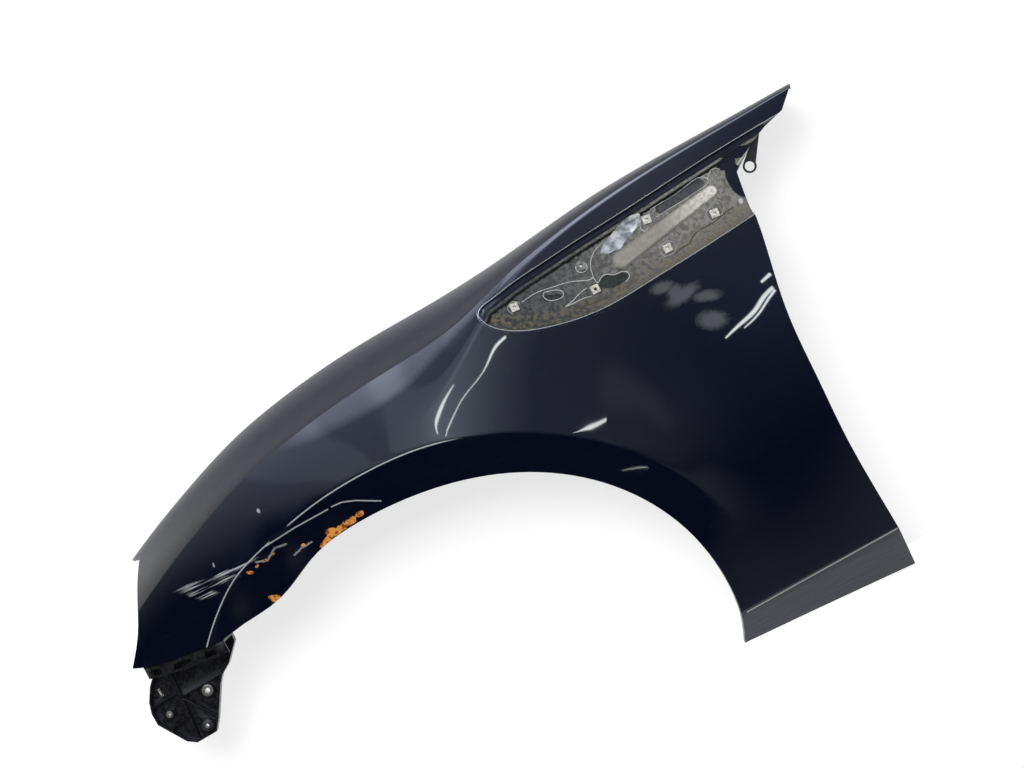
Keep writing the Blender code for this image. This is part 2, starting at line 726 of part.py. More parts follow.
def flat_plate(name, points, thickness, collection, y):
    """An outline of the side view in metres, anticlockwise, thickened inboard from depth y."""
    mesh = make_mesh(name, [(x, y, z) for x, z in points], [tuple(range(len(points)))])
    plate = add_object(name, mesh, collection)
    solidify(plate, thickness)
    return plate


def shrink(loop, inset):
    """Move an anticlockwise outline inwards."""
    before, after = np.roll(loop, 1, axis=0), np.roll(loop, -1, axis=0)

    def inward(a, b):
        along = (b - a) / np.hypot(*(b - a).T)[:, None]
        return np.column_stack((-along[:, 1], along[:, 0]))

    first = inward(before, loop)
    middle = first + inward(loop, after)
    middle /= np.hypot(*middle.T)[:, None]
    share = np.sum(middle * first, axis=1)[:, None]
    return loop + middle * inset / share


def side_matrix(x, y, z, turn=0.0):
    """Stand a piece's Z axis outboard, with its Y axis up, turned in the side view."""
    return Matrix.Translation((x, y, z)) @ Matrix.Rotation(math.radians(90), 4, "X") \
        @ Matrix.Rotation(math.radians(turn), 4, "Z")


def face_matrix(x, z, turn=0.0):
    """Stand a piece's Z axis out of the outer face at a point of the side view."""
    reach = FACE_REACH
    across = Vector((2 * reach, skin(x + reach, z) - skin(x - reach, z), 0)).normalized()
    up = Vector((0, skin(x, z + reach) - skin(x, z - reach), 2 * reach)).normalized()
    out = across.cross(up).normalized()
    side = Matrix.Rotation(math.radians(turn), 3, out) @ across
    axes = Matrix((side, out.cross(side), out)).transposed().to_4x4()
    return Matrix.Translation((x, float(skin(x, z)), z)) @ axes


def pad_point(station, along):
    """A point in the middle of a bolt face's width, on the ledge's outer side."""
    middle = station * MM
    height = float(bonnet_height(middle))
    depth = float(skin(middle, height)) + HEM / 2 + BONNET_LEDGE / 2
    return Vector((middle + along, depth, height - BONNET_WALL))


def datum():
    """The part's origin: the underside of one bolt face."""
    return pad_point(DATUM_STATION, -HOLE_OFFSET) - Vector((0, 0, SHEET))


def rivet_matrix(station):
    """Stand a rivet's Z axis on the lower side of the bumper flange."""
    x, reach = station * MM, RIVET_SEAT
    height = float(bumper_height(x))
    slope = float(bumper_height(x + reach) - bumper_height(x - reach)) / (2 * reach)
    depth = float(skin(x, height)) + EDGE_FLANGE * RIVET_SHARE
    turn = Matrix.Rotation(-math.atan(slope), 4, "Y")
    return Matrix.Translation((x, depth, height)) @ turn


def fender_panel(parts, cutters):
    """The stamped skin with its returned edges and bolt holes."""
    panel = add_object("fender_panel", make_mesh("fender_panel", *panel_surface()), parts)
    solidify(panel, SHEET)
    places = [(PAD_HOLE / 2, BONNET_WALL, Matrix.Translation(pad_point(station, HOLE_OFFSET)))
              for station in PAD_STATIONS]
    places += [(RIVET_RADIUS + GAP, EDGE_FLANGE / 2, rivet_matrix(station)) for station in RIVETS]
    boolean(panel, cylinders("panel_bores", places, cutters), "DIFFERENCE")
    panel.data.materials.append(material("navy_paint", (0.006, 0.009, 0.030), 0.08, coat=1.0))


def shelf_line():
    """Stations of the bracket's shelf with the outer face's depth and the shelf's top."""
    stations = np.linspace(*SHELF_ENDS, SHELF_STATIONS) * MM
    height = bumper_height(stations)
    return stations, skin(stations, height), height - GAP


def strip(name, first, second, thickness, collection):
    """A sheet between two rows of points."""
    verts = [point for pair in zip(first, second) for point in pair]
    faces = [(i, i + 1, i + 3, i + 2) for i in range(0, len(verts) - 2, 2)]
    sheet = add_object(name, make_mesh(name, verts, faces), collection)
    solidify(sheet, thickness)
    return sheet


def bracket_rail(cutters):
    """The windowed rail that hangs from the shelf along the bumper edge."""
    stations, depth, top = shelf_line()
    face = depth + RAIL_SETBACK
    rail = strip("rail", list(zip(stations, face, top - SHELF_WALL / 2)),
                 list(zip(stations, face, top - RAIL_HEIGHT)), SHELF_WALL, cutters)
    for number, (station, length) in enumerate(RAIL_WINDOWS):
        x = station * MM
        before, level, after = np.interp((x - MM, x, x + MM), stations, top)
        middle = level - (RAIL_HEIGHT + SHELF_WALL) / 2
        slope = math.atan2(after - before, 2 * MM)
        place = Matrix.Translation((x, float(np.interp(x, stations, face)), middle)) \
            @ Matrix.Rotation(-slope, 4, "Y")
        window = box(f"rail_window_{number + 1}", (length * MM, CUT_LENGTH, WINDOW_HEIGHT),
                     place, cutters)
        boolean(rail, window, "DIFFERENCE")
    return rail


def bracket_loop():
    """The tray's outline, closed along the middle of the shelf."""
    stations, _, top = shelf_line()
    upper = np.column_stack((stations, top - SHELF_WALL / 2))[::-1]
    return np.vstack((np.array(BRACKET_OUTLINE, float) * MM, upper))


def bracket_back():
    """Depth of the bracket's inboard face."""
    return BRACKET_FACE + BRACKET_DEPTH


def front_bracket(parts, cutters):
    """A moulded tray with ribs and bosses under a shelf, open to the outer side."""
    stations, depth, top = shelf_line()
    shelf = strip("front_bracket", [(x, bracket_back(), z) for x, z in zip(stations, top)],
                  list(zip(stations, depth + SHELF_SETBACK, top)), SHELF_WALL, parts)
    loop = bracket_loop()
    tray = flat_plate("tray", loop, BRACKET_DEPTH, cutters, BRACKET_FACE)
    hollow = flat_plate("hollow", shrink(loop, BRACKET_WALL),
                        BRACKET_DEPTH - BRACKET_FLOOR + TRAY_MOUTH, cutters, BRACKET_FACE - TRAY_MOUTH)
    boolean(tray, hollow, "DIFFERENCE")
    boolean(shelf, tray, "UNION")
    boolean(shelf, bracket_rail(cutters), "UNION")
    for number, ((ax, az), (bx, bz), drop) in enumerate(RIBS):
        front = BRACKET_FACE + drop * MM
        back = bracket_back() - BRACKET_FLOOR / 2
        place = Matrix.Translation(((ax + bx) / 2 * MM, (front + back) / 2, (az + bz) / 2 * MM)) \
            @ Matrix.Rotation(-math.atan2(bz - az, bx - ax), 4, "Y")
        size = (math.hypot(bx - ax, bz - az) * MM, back - front, RIB_WALL)
        boolean(shelf, box(f"rib_{number + 1}", size, place, cutters), "UNION")
    bosses, bores = [], []
    for (x, z), radius, _ in (SLEEVE, NUT, INSERT):
        place = side_matrix(x * MM, bracket_back(), z * MM)
        rise = Matrix.Translation((0, 0, (BOSS_HEIGHT + BRACKET_FLOOR / 2) / 2))
        bosses.append((radius + GAP + BOSS_WALL, BOSS_HEIGHT - BRACKET_FLOOR / 2, place @ rise))
        bores.append((radius + GAP, CUT_LENGTH, place))
    bores += [(RIVET_RADIUS + GAP, EDGE_FLANGE / 2, rivet_matrix(station)) for station in RIVETS]
    boolean(shelf, cylinders("bosses", bosses, cutters), "UNION")
    boolean(shelf, cylinders("bores", bores, cutters), "DIFFERENCE")
    x, z = SPRING_PLACE
    slot = box("spring_slot", (SPRING_WIDTH + 2 * GAP, SPRING_LENGTH + 2 * GAP, CUT_LENGTH),
               side_matrix(x * MM, bracket_back(), z * MM, SPRING_TURN), cutters)
    boolean(shelf, slot, "DIFFERENCE")
    shelf.data.materials.append(material("bracket_plastic", (0.018, 0.018, 0.020), 0.45))


def sleeve_profile(fixing):
    """A lipped sleeve that stands in a boss, from the bracket's inboard face outwards."""
    _, radius, bore = fixing
    seat = BOSS_HEIGHT + GAP
    top = seat + LIP_HEIGHT
    rim = radius + LIP_WIDTH
    return [(rim, top), (rim, seat), (radius, seat), (radius, -FIXING_TAIL), (bore, -FIXING_TAIL),
            (bore, top)]


def bracket_fixings(parts, cutters):
    """Sleeve, nut, insert, spring clip and rivets of the bumper bracket."""
    bright = material("plated_steel", (0.62, 0.60, 0.56), 0.3, 1.0)
    dark = material("dark_steel", (0.20, 0.20, 0.21), 0.4, 1.0)
    for name, fixing, finish in (("bracket_sleeve", SLEEVE, bright), ("bracket_nut", NUT, dark),
                                 ("bracket_insert", INSERT, bright)):
        (x, z), _, bore = fixing
        place = side_matrix(x * MM, bracket_back(), z * MM)
        piece = turned(name, sleeve_profile(fixing), place, parts)
        piece.data.materials.append(finish)
        if fixing is NUT:
            hexagon = place @ Matrix.Translation((0, 0, BOSS_HEIGHT + LIP_HEIGHT + NUT_HEX_HEIGHT / 2))
            head = cylinders("nut_head", [(NUT_HEX, NUT_HEX_HEIGHT, hexagon)], cutters, 6)
            boolean(piece, head, "UNION")
            boolean(piece, cylinders("nut_bore", [(bore, CUT_LENGTH, place)], cutters), "DIFFERENCE")

    x, z = SPRING_PLACE
    place = side_matrix(x * MM, bracket_back() + FIXING_TAIL - SPRING_REACH / 2, z * MM, SPRING_TURN)
    clip = box("bracket_spring_clip", (SPRING_WIDTH, SPRING_LENGTH, SPRING_REACH), place, parts)
    groove = box("spring_groove", (SPRING_WIDTH - 2 * SPRING_WALL, SPRING_LENGTH - 2 * SPRING_END,
                                   CUT_LENGTH), place, cutters)
    boolean(clip, groove, "DIFFERENCE")
    clip.data.materials.append(bright)

    black = material("rivet_plastic", (0.02, 0.02, 0.022), 0.5)
    under = -GAP - SHELF_WALL - GAP
    foot = under - RIVET_HEAD_HEIGHT
    over = SHEET + GAP
    tip = over + RIVET_TAIL
    for number, station in enumerate(RIVETS):
        profile = [(RIVET_RADIUS, tip), (RIVET_GRIP, over), (RIVET_RADIUS, over), (RIVET_RADIUS, under),
                   (RIVET_HEAD, under), (RIVET_HEAD - RIVET_BORE / 2, foot), (RIVET_BORE, foot),
                   (RIVET_BORE, tip)]
        rivet = turned(f"bracket_rivet_{number + 1}", profile, rivet_matrix(station), parts)
        rivet.data.materials.append(black)


def pocket_clips(parts, cutters):
    """Square trim clips: a head on the recess's floor and a hollow stem through it."""
    for number, (x, z, turn) in enumerate(CLIPS):
        name = f"pocket_clip_{number + 1}"
        place = face_matrix(x * MM, z * MM, turn)
        head = box(name, (CLIP_HEAD, CLIP_HEAD, CLIP_HEIGHT),
                   place @ Matrix.Translation((0, 0, CLIP_SEAT + CLIP_HEIGHT / 2)), parts)
        edge = head.modifiers.new("Edge", "BEVEL")
        edge.width = CLIP_BEVEL
        edge.segments = 1
        stem = box(f"{name}_stem", (CLIP_STEM, CLIP_STEM, CLIP_LENGTH),
                   place @ Matrix.Translation((0, 0, CLIP_SEAT + (CLIP_HEIGHT - CLIP_LENGTH) / 2)), cutters)
        boolean(head, stem, "UNION")
        bore = CLIP_STEM - 2 * CLIP_WALL
        boolean(head, box(f"{name}_bore", (bore, bore, CUT_LENGTH), place, cutters), "DIFFERENCE")
        head.data.materials.append(material("clip_plastic", (0.70, 0.68, 0.60), 0.45))


def pocket_grommet(parts):
    """The ring boss in the recess, with its stem through the panel."""
    x, z = GROMMET_PLACE
    top = CLIP_SEAT + GROMMET_HEIGHT
    profile = [(GROMMET_RADIUS - GROMMET_EDGE, top), (GROMMET_RADIUS, top - GROMMET_EDGE),
               (GROMMET_RADIUS, CLIP_SEAT), (GROMMET_STEM, CLIP_SEAT), (GROMMET_STEM, -GROMMET_LENGTH),
               (GROMMET_BORE, -GROMMET_LENGTH), (GROMMET_BORE, top)]
    ring = turned("pocket_grommet", profile, face_matrix(x * MM, z * MM), parts)
    ring.data.materials.append(material("grommet_rubber", (0.22, 0.21, 0.20), 0.6))


def rear_bracket(parts, cutters):
    """A lug with an eyelet, on a foot that lies on the notch's returned edge."""
    ends = np.array(NOTCH_EDGE[1:3], float) * MM
    covered = np.array(NOTCH_EDGE[:3], float) * MM
    plate_depth = float(np.max(skin(*covered.T))) + EDGE_FLANGE + GAP
    along = (ends[1] - ends[0]) / np.hypot(*(ends[1] - ends[0]))
    middle = ends.mean(axis=0)
    upward = np.array((-along[1], along[0]))
    seat = SHEET + GAP
    centre = np.array(EYELET, float) * MM
    turns = np.radians(np.arange(*EYELET_ARC))
    ring = [centre + EYELET_RADIUS * np.array((math.cos(turn), math.sin(turn))) for turn in turns]
    lift = upward * (seat + EYELET_PLATE / 2)
    loop = ring + [middle + along * FOOT_LENGTH / 2 + lift, middle - along * FOOT_LENGTH / 2 + lift]
    plate = flat_plate("rear_bracket", loop, EYELET_PLATE, parts, plate_depth)
    front = float(skin(*ends[0])) + FOOT_SETBACK
    width = plate_depth + EYELET_PLATE - front
    place = Matrix.Translation((middle[0], front + width / 2, middle[1])) \
        @ Matrix.Rotation(-math.atan2(along[1], along[0]), 4, "Y") \
        @ Matrix.Translation((0, 0, seat + EYELET_PLATE / 2))
    boolean(plate, box("rear_foot", (FOOT_LENGTH, width, EYELET_PLATE), place, cutters), "UNION")
    place = side_matrix(centre[0], plate_depth, centre[1])
    boolean(plate, cylinders("eyelet_bore", [(EYELET_BORE, CUT_LENGTH, place)], cutters), "DIFFERENCE")
    plate.data.materials.append(material("bracket_steel", (0.05, 0.05, 0.06), 0.35, 0.6))


def build():
    clear_scene()
    parts = bpy.data.collections.new("car_fender")
    cutters = bpy.data.collections.new("cutters")
    frame = bpy.data.objects.new("wheel_frame", None)
    for collection in (parts, cutters):
        bpy.context.scene.collection.children.link(collection)
    parts.objects.link(frame)
    frame.location = -datum()
    fender_panel(parts, cutters)
    front_bracket(parts, cutters)
    bracket_fixings(parts, cutters)
    pocket_clips(parts, cutters)
    pocket_grommet(parts)
    rear_bracket(parts, cutters)
    for piece in parts.objects:
        if piece.type == "MESH":
            piece.data.shade_smooth()
            piece.data.set_sharp_from_angle(angle=math.radians(EDGE_ANGLE))


build()
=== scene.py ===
import math

import bmesh
import bpy
import mathutils
import numpy as np
from mathutils import Matrix, Vector


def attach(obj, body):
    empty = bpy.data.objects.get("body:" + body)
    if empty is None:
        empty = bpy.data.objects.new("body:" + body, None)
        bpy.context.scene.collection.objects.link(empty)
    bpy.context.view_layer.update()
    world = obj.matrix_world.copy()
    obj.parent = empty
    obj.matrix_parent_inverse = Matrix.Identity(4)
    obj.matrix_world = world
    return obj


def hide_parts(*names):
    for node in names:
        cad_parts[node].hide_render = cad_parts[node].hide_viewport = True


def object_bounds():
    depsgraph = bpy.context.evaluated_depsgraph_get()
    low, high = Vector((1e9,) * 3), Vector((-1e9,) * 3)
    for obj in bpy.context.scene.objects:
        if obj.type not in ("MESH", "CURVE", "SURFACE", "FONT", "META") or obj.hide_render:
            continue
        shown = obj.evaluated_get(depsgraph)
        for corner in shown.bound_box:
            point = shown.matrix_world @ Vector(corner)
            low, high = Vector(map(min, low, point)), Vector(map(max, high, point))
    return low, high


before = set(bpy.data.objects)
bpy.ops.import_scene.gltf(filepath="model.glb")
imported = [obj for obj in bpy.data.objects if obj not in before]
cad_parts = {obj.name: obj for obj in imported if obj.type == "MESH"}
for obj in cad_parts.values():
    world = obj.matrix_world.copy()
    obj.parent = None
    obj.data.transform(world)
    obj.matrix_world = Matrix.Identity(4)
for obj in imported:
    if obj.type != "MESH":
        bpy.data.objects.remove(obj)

cad_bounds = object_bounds()
MM = 0.001


# The shape of the stamped skin, as it was drawn for the press
# Places in the side view are x to the rear and z up, in mm from the middle of the wheel,
# and the depth of the skin is counted inboard from its widest plane.
SHEET = 0.9 * MM
ARCH_RADIUS = 366 * MM
CREASE_GROWTH = ((-12, 60), (36, 60), (53, 56), (66, 57), (82, 64), (97, 72), (110, 86),
                 (120, 102), (128, 119), (135, 126), (142, 130))
BONNET_LINE = ((-486, 479), (-465, 489), (-414, 512), (-339, 543), (-239, 579), (-141, 602),
               (-42, 617), (56, 625), (154, 630), (251, 639), (349, 652), (447, 665),
               (595, 674), (694, 677), (808, 681))
PLAN = ((-520, 74), (-400, 38), (-250, 12), (-100, 1), (50, 0), (200, 4), (330, 11),
        (450, 18), (600, 22), (830, 30))
ROLL_HEIGHT = ((-520, 165), (-200, 170), (0, 168), (90, 150), (170, 105), (250, 60),
               (330, 40), (450, 31), (600, 23), (700, 19), (830, 14))
ROLL_DEPTH = ((-520, 150), (-200, 160), (0, 160), (250, 149), (450, 139), (690, 144),
              (830, 146))
POCKET_DEPTH = ((204, 7), (300, 13), (420, 16), (800, 16))
SILL_CREASE = ((362, -19), (627, -13))
POCKET_TOP = ((204, 569), (210, 576), (230, 582), (272, 590), (318, 596), (387, 604),
              (480, 613), (572, 623), (665, 632), (735, 637), (790, 640))
POCKET_FOOT = ((204, 569), (208, 555), (222, 537), (244, 522), (294, 504), (340, 495),
               (400, 492), (454, 496), (546, 504), (651, 515), (700, 520))
LEAN_HEIGHT = 300 * MM
LEAN_RADIUS = 2000 * MM
ROLL_POWER = 2.3
ROLL_REACH = 0.965
FLARE_BULGE = 15 * MM
FLARE_REACH = 85 * MM
FLARE_TUCK = 0.32
FLARE_FADE = (12, 48)
CREASE_ROUNDING = 2.4 * MM
SCOOP_PLACE = (415 * MM, 350 * MM)
SCOOP_SIZE = (110 * MM, 130 * MM)
SCOOP_DEPTH = 9 * MM
DENTS = ((-222, 383, 34, 7), (-330, 352, 30, 5), (-150, 392, 30, 4), (-402, 352, 36, 4))
SILL_SLOPE = 0.45
POCKET_STEPS = ((0, 5, 0.5), (10, 14, 0.3), (18, 22, 0.2))
POCKET_FILLET = 15 * MM
BEAD = ((440, 546, 15), (612, 578, 10))
BEAD_HEIGHT = 6 * MM
CHANNEL = ((530, 589, 7.5), (600, 597, 9))
CHANNEL_DEPTH = 4 * MM
HEM = 2.5 * MM
BONNET_LEDGE = 27 * MM
BONNET_WALL = 19 * MM
DATUM_STATION = 150 * MM
HOLE_OFFSET = 10 * MM
CURVE_STEP = 6 * MM


def spline(pairs, scale=MM):
    """Give a natural cubic curve through a few (station, value) pairs."""
    xs, ys = np.array(pairs, float).T * scale
    gap = np.diff(xs)
    count = len(xs)
    system = np.eye(count)
    bend = np.zeros(count)
    for i in range(1, count - 1):
        system[i, i - 1:i + 2] = gap[i - 1], 2 * (gap[i - 1] + gap[i]), gap[i]
        bend[i] = 6 * ((ys[i + 1] - ys[i]) / gap[i] - (ys[i] - ys[i - 1]) / gap[i - 1])
    bend = np.linalg.solve(system, bend)

    def at(x):
        x = np.clip(x, xs[0], xs[-1])
        i = np.clip(np.searchsorted(xs, x) - 1, 0, count - 2)
        a = (xs[i + 1] - x) / gap[i]
        b = 1 - a
        return (a * ys[i] + b * ys[i + 1]
                + ((a ** 3 - a) * bend[i] + (b ** 3 - b) * bend[i + 1]) * gap[i] ** 2 / 6)
    return at


def trace(points, step=CURVE_STEP):
    """Resample a smooth curve through points in mm."""
    points = np.array(points, float) * MM
    run = np.concatenate(([0], np.cumsum(np.hypot(*np.diff(points, axis=0).T))))
    at = np.linspace(0, run[-1], max(2, round(run[-1] / step) + 1))
    return np.column_stack([spline(np.column_stack((run, points[:, k])), 1.0)(at) for k in (0, 1)])


def distance(path, x, z):
    """Give the distance from points to an open path."""
    nearest = np.full(np.shape(x), np.inf)
    for (ax, az), (bx, bz) in zip(path[:-1], path[1:]):
        dx, dz = bx - ax, bz - az
        t = np.clip(((x - ax) * dx + (z - az) * dz) / (dx * dx + dz * dz), 0, 1)
        nearest = np.minimum(nearest, np.hypot(x - ax - t * dx, z - az - t * dz))
    return nearest


def inside(loop, x, z):
    """Tell which points lie in a closed outline."""
    hit = np.zeros(np.shape(x), bool)
    for (ax, az), (bx, bz) in zip(loop, np.roll(loop, -1, axis=0)):
        if az != bz:
            hit ^= ((az > z) != (bz > z)) & (x < (bx - ax) * (z - az) / (bz - az) + ax)
    return hit


def ease(t):
    """Rise smoothly from 0 to 1."""
    t = np.clip(t, 0, 1)
    return t * t * (3 - 2 * t)


bonnet_height = spline(BONNET_LINE)
plan_depth = spline(PLAN)
roll_height = spline(ROLL_HEIGHT)
roll_depth = spline(ROLL_DEPTH)
crease_growth = spline(CREASE_GROWTH, 1.0)
pocket_depth = spline(POCKET_DEPTH)
sill_height = spline(SILL_CREASE)
pocket_top = trace(POCKET_TOP)
pocket_foot = trace(POCKET_FOOT)
pocket_loop = np.vstack((pocket_top, pocket_foot[::-1]))


def capsule(ends, x, z):
    """Give how deep points lie in a tapered capsule, 1 on its axis and 0 at its rim."""
    (ax, az, ar), (bx, bz, br) = np.array(ends, float) * MM
    dx, dz = bx - ax, bz - az
    t = np.clip(((x - ax) * dx + (z - az) * dz) / (dx * dx + dz * dz), 0, 1)
    reach = np.hypot(x - ax - t * dx, z - az - t * dz) / (ar + t * (br - ar))
    return np.clip(1 - reach * reach, 0, 1)


def corner(t, rounded):
    """Cut off below zero, sharply or along a small fillet."""
    return CREASE_ROUNDING * np.logaddexp(0, t / CREASE_ROUNDING) if rounded else np.maximum(t, 0)


def pocket(x, z, rounded):
    """Sink of the trim recess, with its stepped upper wall and its embossed shapes."""
    from_top = distance(pocket_top, x, z)
    from_foot = distance(pocket_foot, x, z)
    steps = sum(ease((from_top / MM - start) / (end - start)) * share
                for start, end, share in POCKET_STEPS)
    foot = 1 - (1 - np.clip(from_foot / POCKET_FILLET, 0, 1)) ** 2
    depth = pocket_depth(x) * steps * foot
    bead = capsule(BEAD, x, z)
    depth = depth - BEAD_HEIGHT * (ease(1.6 * bead) if rounded else bead)
    depth = depth + CHANNEL_DEPTH * ease(2.5 * capsule(CHANNEL, x, z))
    return np.where(inside(pocket_loop, x, z), depth, 0)


def skin(x, z, rounded=True):
    """Depth of the outer face, with rounded creases or with the plain solid's sharp ones."""
    depth = plan_depth(x) + (z - LEAN_HEIGHT) ** 2 / (2 * LEAN_RADIUS)

    rise = np.clip((bonnet_height(x) - z) / roll_height(x), 0, 1)
    turn = ROLL_REACH * (1 - rise)
    full = 1 - (1 - ROLL_REACH ** ROLL_POWER) ** (1 / ROLL_POWER)
    depth += roll_depth(x) * (1 - (1 - turn ** ROLL_POWER) ** (1 / ROLL_POWER)) / full

    angle = np.degrees(np.arctan2(z, x))
    beyond = np.hypot(x, z) - ARCH_RADIUS - crease_growth(angle) * MM
    above = corner(beyond, rounded)
    strength = ease((angle - FLARE_FADE[0]) / (FLARE_FADE[1] - FLARE_FADE[0]))
    depth -= strength * (FLARE_BULGE * np.exp(-above / FLARE_REACH) + FLARE_TUCK * (beyond - above))

    across = (x - SCOOP_PLACE[0]) / SCOOP_SIZE[0]
    upward = (z - SCOOP_PLACE[1]) / SCOOP_SIZE[1]
    depth += SCOOP_DEPTH * np.exp(-across ** 2 - upward ** 2)
    for dent_x, dent_z, radius, sink in np.array(DENTS) * MM:
        depth += sink * np.exp(-((x - dent_x) ** 2 + (z - dent_z) ** 2) / radius ** 2)

    depth += np.where(x > 0, SILL_SLOPE * corner(sill_height(x) - z, rounded), 0)
    return depth + pocket(x, z, rounded)


datum_height = float(bonnet_height(DATUM_STATION))
datum = Vector((DATUM_STATION - HOLE_OFFSET,
                float(skin(DATUM_STATION, datum_height)) + (HEM + BONNET_LEDGE) / 2,
                datum_height - BONNET_WALL - SHEET))


def at_wheel(x, z, y=0.0):
    """Turn a place in mm from the wheel's middle into the part's own frame."""
    return Vector((x, y, z)) * MM - datum


# The fender's skin
# One steel stamping of 0.9 mm, drawn over the wheel arch, with its edges returned inboard.
# It starts as the plain sheet, gets rounded folds, and is drawn finely over the press's form.
FOLD_WIDTH = 1.1 * MM
FOLD_ANGLE = math.radians(50)
FOLD_STEPS = 3
ON_FACE = 0.03 * MM
NEAR_SHEET = 2.2 * MM
MERGE = 0.01 * MM
CUTS = 3
SHARP = math.radians(35)
NORMAL_STEP = 0.4 * MM


def select_only(piece):
    bpy.ops.object.select_all(action="DESELECT")
    piece.select_set(True)
    bpy.context.view_layer.objects.active = piece


def merged_copy(node, name):
    """Copy a plain solid as one joined mesh, to be worked into the finished piece."""
    piece = bpy.data.objects.new(name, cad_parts[node].data.copy())
    bpy.context.scene.collection.objects.link(piece)
    piece.data.materials.clear()
    select_only(piece)
    bpy.ops.object.mode_set(mode="EDIT")
    bpy.ops.mesh.select_all(action="SELECT")
    bpy.ops.mesh.remove_doubles(threshold=MERGE)
    bpy.ops.object.mode_set(mode="OBJECT")
    return piece


def wheel_places(mesh):
    """Give a mesh's points in the wheel's frame."""
    points = np.empty(len(mesh.vertices) * 3)
    mesh.vertices.foreach_get("co", points)
    return points.reshape(-1, 3) + np.array(datum)


def keep_value(mesh, name, values):
    """Keep one number for each point, for the paint to read."""
    kept = mesh.attributes.new(name, "FLOAT", "POINT")
    kept.data.foreach_set("value", np.asarray(values, float))


fender = merged_copy("fender_panel", "fender_skin")
places = wheel_places(fender.data)
lift = places[:, 1] - skin(places[:, 0], places[:, 2], rounded=False)
in_pocket = inside(pocket_loop, places[:, 0], places[:, 2])
bpy.ops.object.mode_set(mode="EDIT")
bpy.ops.mesh.select_mode(type="EDGE")
bpy.ops.mesh.select_all(action="DESELECT")
sheet = bmesh.from_edit_mesh(fender.data)
for edge in sheet.edges:
    ends = [vert.index for vert in edge.verts]
    outer = all(abs(lift[i]) < ON_FACE and not in_pocket[i] for i in ends)
    edge.select = outer and edge.calc_face_angle(0) > FOLD_ANGLE
bmesh.update_edit_mesh(fender.data)
bpy.ops.mesh.bevel(offset=FOLD_WIDTH, segments=FOLD_STEPS, affect="EDGES", clamp_overlap=True)
bpy.ops.mesh.select_all(action="SELECT")
bpy.ops.mesh.quads_convert_to_tris()
bpy.ops.object.mode_set(mode="OBJECT")

places = wheel_places(fender.data)
keep_value(fender.data, "lift", places[:, 1] - skin(places[:, 0], places[:, 2], rounded=False))
bpy.ops.object.mode_set(mode="EDIT")
bpy.ops.mesh.select_all(action="SELECT")
bpy.ops.mesh.subdivide(number_cuts=CUTS)
bpy.ops.mesh.quads_convert_to_tris()
bpy.ops.object.mode_set(mode="OBJECT")

mesh = fender.data
lift = np.empty(len(mesh.vertices))
mesh.attributes["lift"].data.foreach_get("value", lift)
places = wheel_places(mesh)
drawn = abs(lift) < NEAR_SHEET
places[drawn, 1] = skin(places[drawn, 0], places[drawn, 2]) + lift[drawn]
mesh.vertices.foreach_set("co", (places - np.array(datum)).ravel())
mesh.attributes.remove(mesh.attributes["lift"])
mesh.update()
bpy.ops.object.shade_smooth()
mesh.set_sharp_from_angle(angle=SHARP)

x, z = places[:, 0], places[:, 2]


def outward_normals(height):
    """Directions square to a formula's face at the mesh's points."""
    slope_x = (height(x + NORMAL_STEP, z) - height(x - NORMAL_STEP, z)) / (2 * NORMAL_STEP)
    slope_z = (height(x, z + NORMAL_STEP) - height(x, z - NORMAL_STEP)) / (2 * NORMAL_STEP)
    outward = np.column_stack((slope_x, -np.ones(len(x)), slope_z))
    return outward / np.linalg.norm(outward, axis=1)[:, None]


pressed = outward_normals(skin)
unpressed = outward_normals(lambda x, z: skin(x, z) - pocket(x, z, True))
on_face = abs(lift) < ON_FACE
corners = np.empty(len(mesh.loops), int)
mesh.loops.foreach_get("vertex_index", corners)
smooth_face = on_face[corners].reshape(-1, 3).all(axis=1).repeat(3)
centres = places[corners].reshape(-1, 3, 3).mean(axis=1)
beside = (~inside(pocket_loop, centres[:, 0], centres[:, 2])).repeat(3)
outward = np.where(beside[:, None], unpressed[corners], pressed[corners])
normals = np.where(smooth_face[:, None], outward, 0)
mesh.normals_split_custom_set(normals.tolist())

angle = np.degrees(np.arctan2(z, x))
within = inside(pocket_loop, x, z)
keep_value(mesh, "outer", on_face)
keep_value(mesh, "crease", (np.hypot(x, z) - ARCH_RADIUS) / MM - crease_growth(angle))
keep_value(mesh, "from_top", distance(pocket_top, x, z) / MM * np.where(within, 1, -1))
keep_value(mesh, "from_foot", distance(pocket_foot, x, z) / MM * np.where(within, 1, -1))
keep_value(mesh, "bead", capsule(BEAD, x, z))
keep_value(mesh, "channel", capsule(CHANNEL, x, z))
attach(fender, "root")
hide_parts("fender_panel")


# Paint of the skin
# Navy base coat with fine flakes under a clear coat. Dust lies where the skin faces up, old
# adhesive and dirt fill the trim recess, and the arch's lip is scraped and rusted. The pale dust
# on up-facing faces is partly a painted sheen, the recess's bead is painted paler towards its rear
# as a painted highlight, pale lines along the creases and the recess's edges are painted
# highlights, and streaks over the crumpled front are painted reflections.
NAVY = (0.0018, 0.0032, 0.0125, 1)
DUST_AND_SHEEN = (0.135, 0.142, 0.158, 1)
INNER_PAINT = (0.052, 0.058, 0.072, 1)
RECESS_DARK = (0.062, 0.067, 0.072, 1)
RECESS_PALE = (0.180, 0.178, 0.168, 1)
RECESS_DIRT = (0.125, 0.108, 0.070, 1)
WALL_NAVY = (0.007, 0.009, 0.020, 1)
BEAD_BEIGE = (0.270, 0.262, 0.235, 1)
BEAD_HIGHLIGHT_PALE = (0.640, 0.630, 0.600, 1)
HIGHLIGHT_AND_WEAR_PALE = (0.620, 0.640, 0.670, 1)
RUST_ORANGE = (0.560, 0.235, 0.050, 1)
RUST_BROWN = (0.150, 0.045, 0.012, 1)
GAP_BLACK = (0.012, 0.013, 0.014, 1)
CHANNEL_DARK = (0.030, 0.034, 0.048, 1)
SIDE_VIEW = (1, 0, 1)


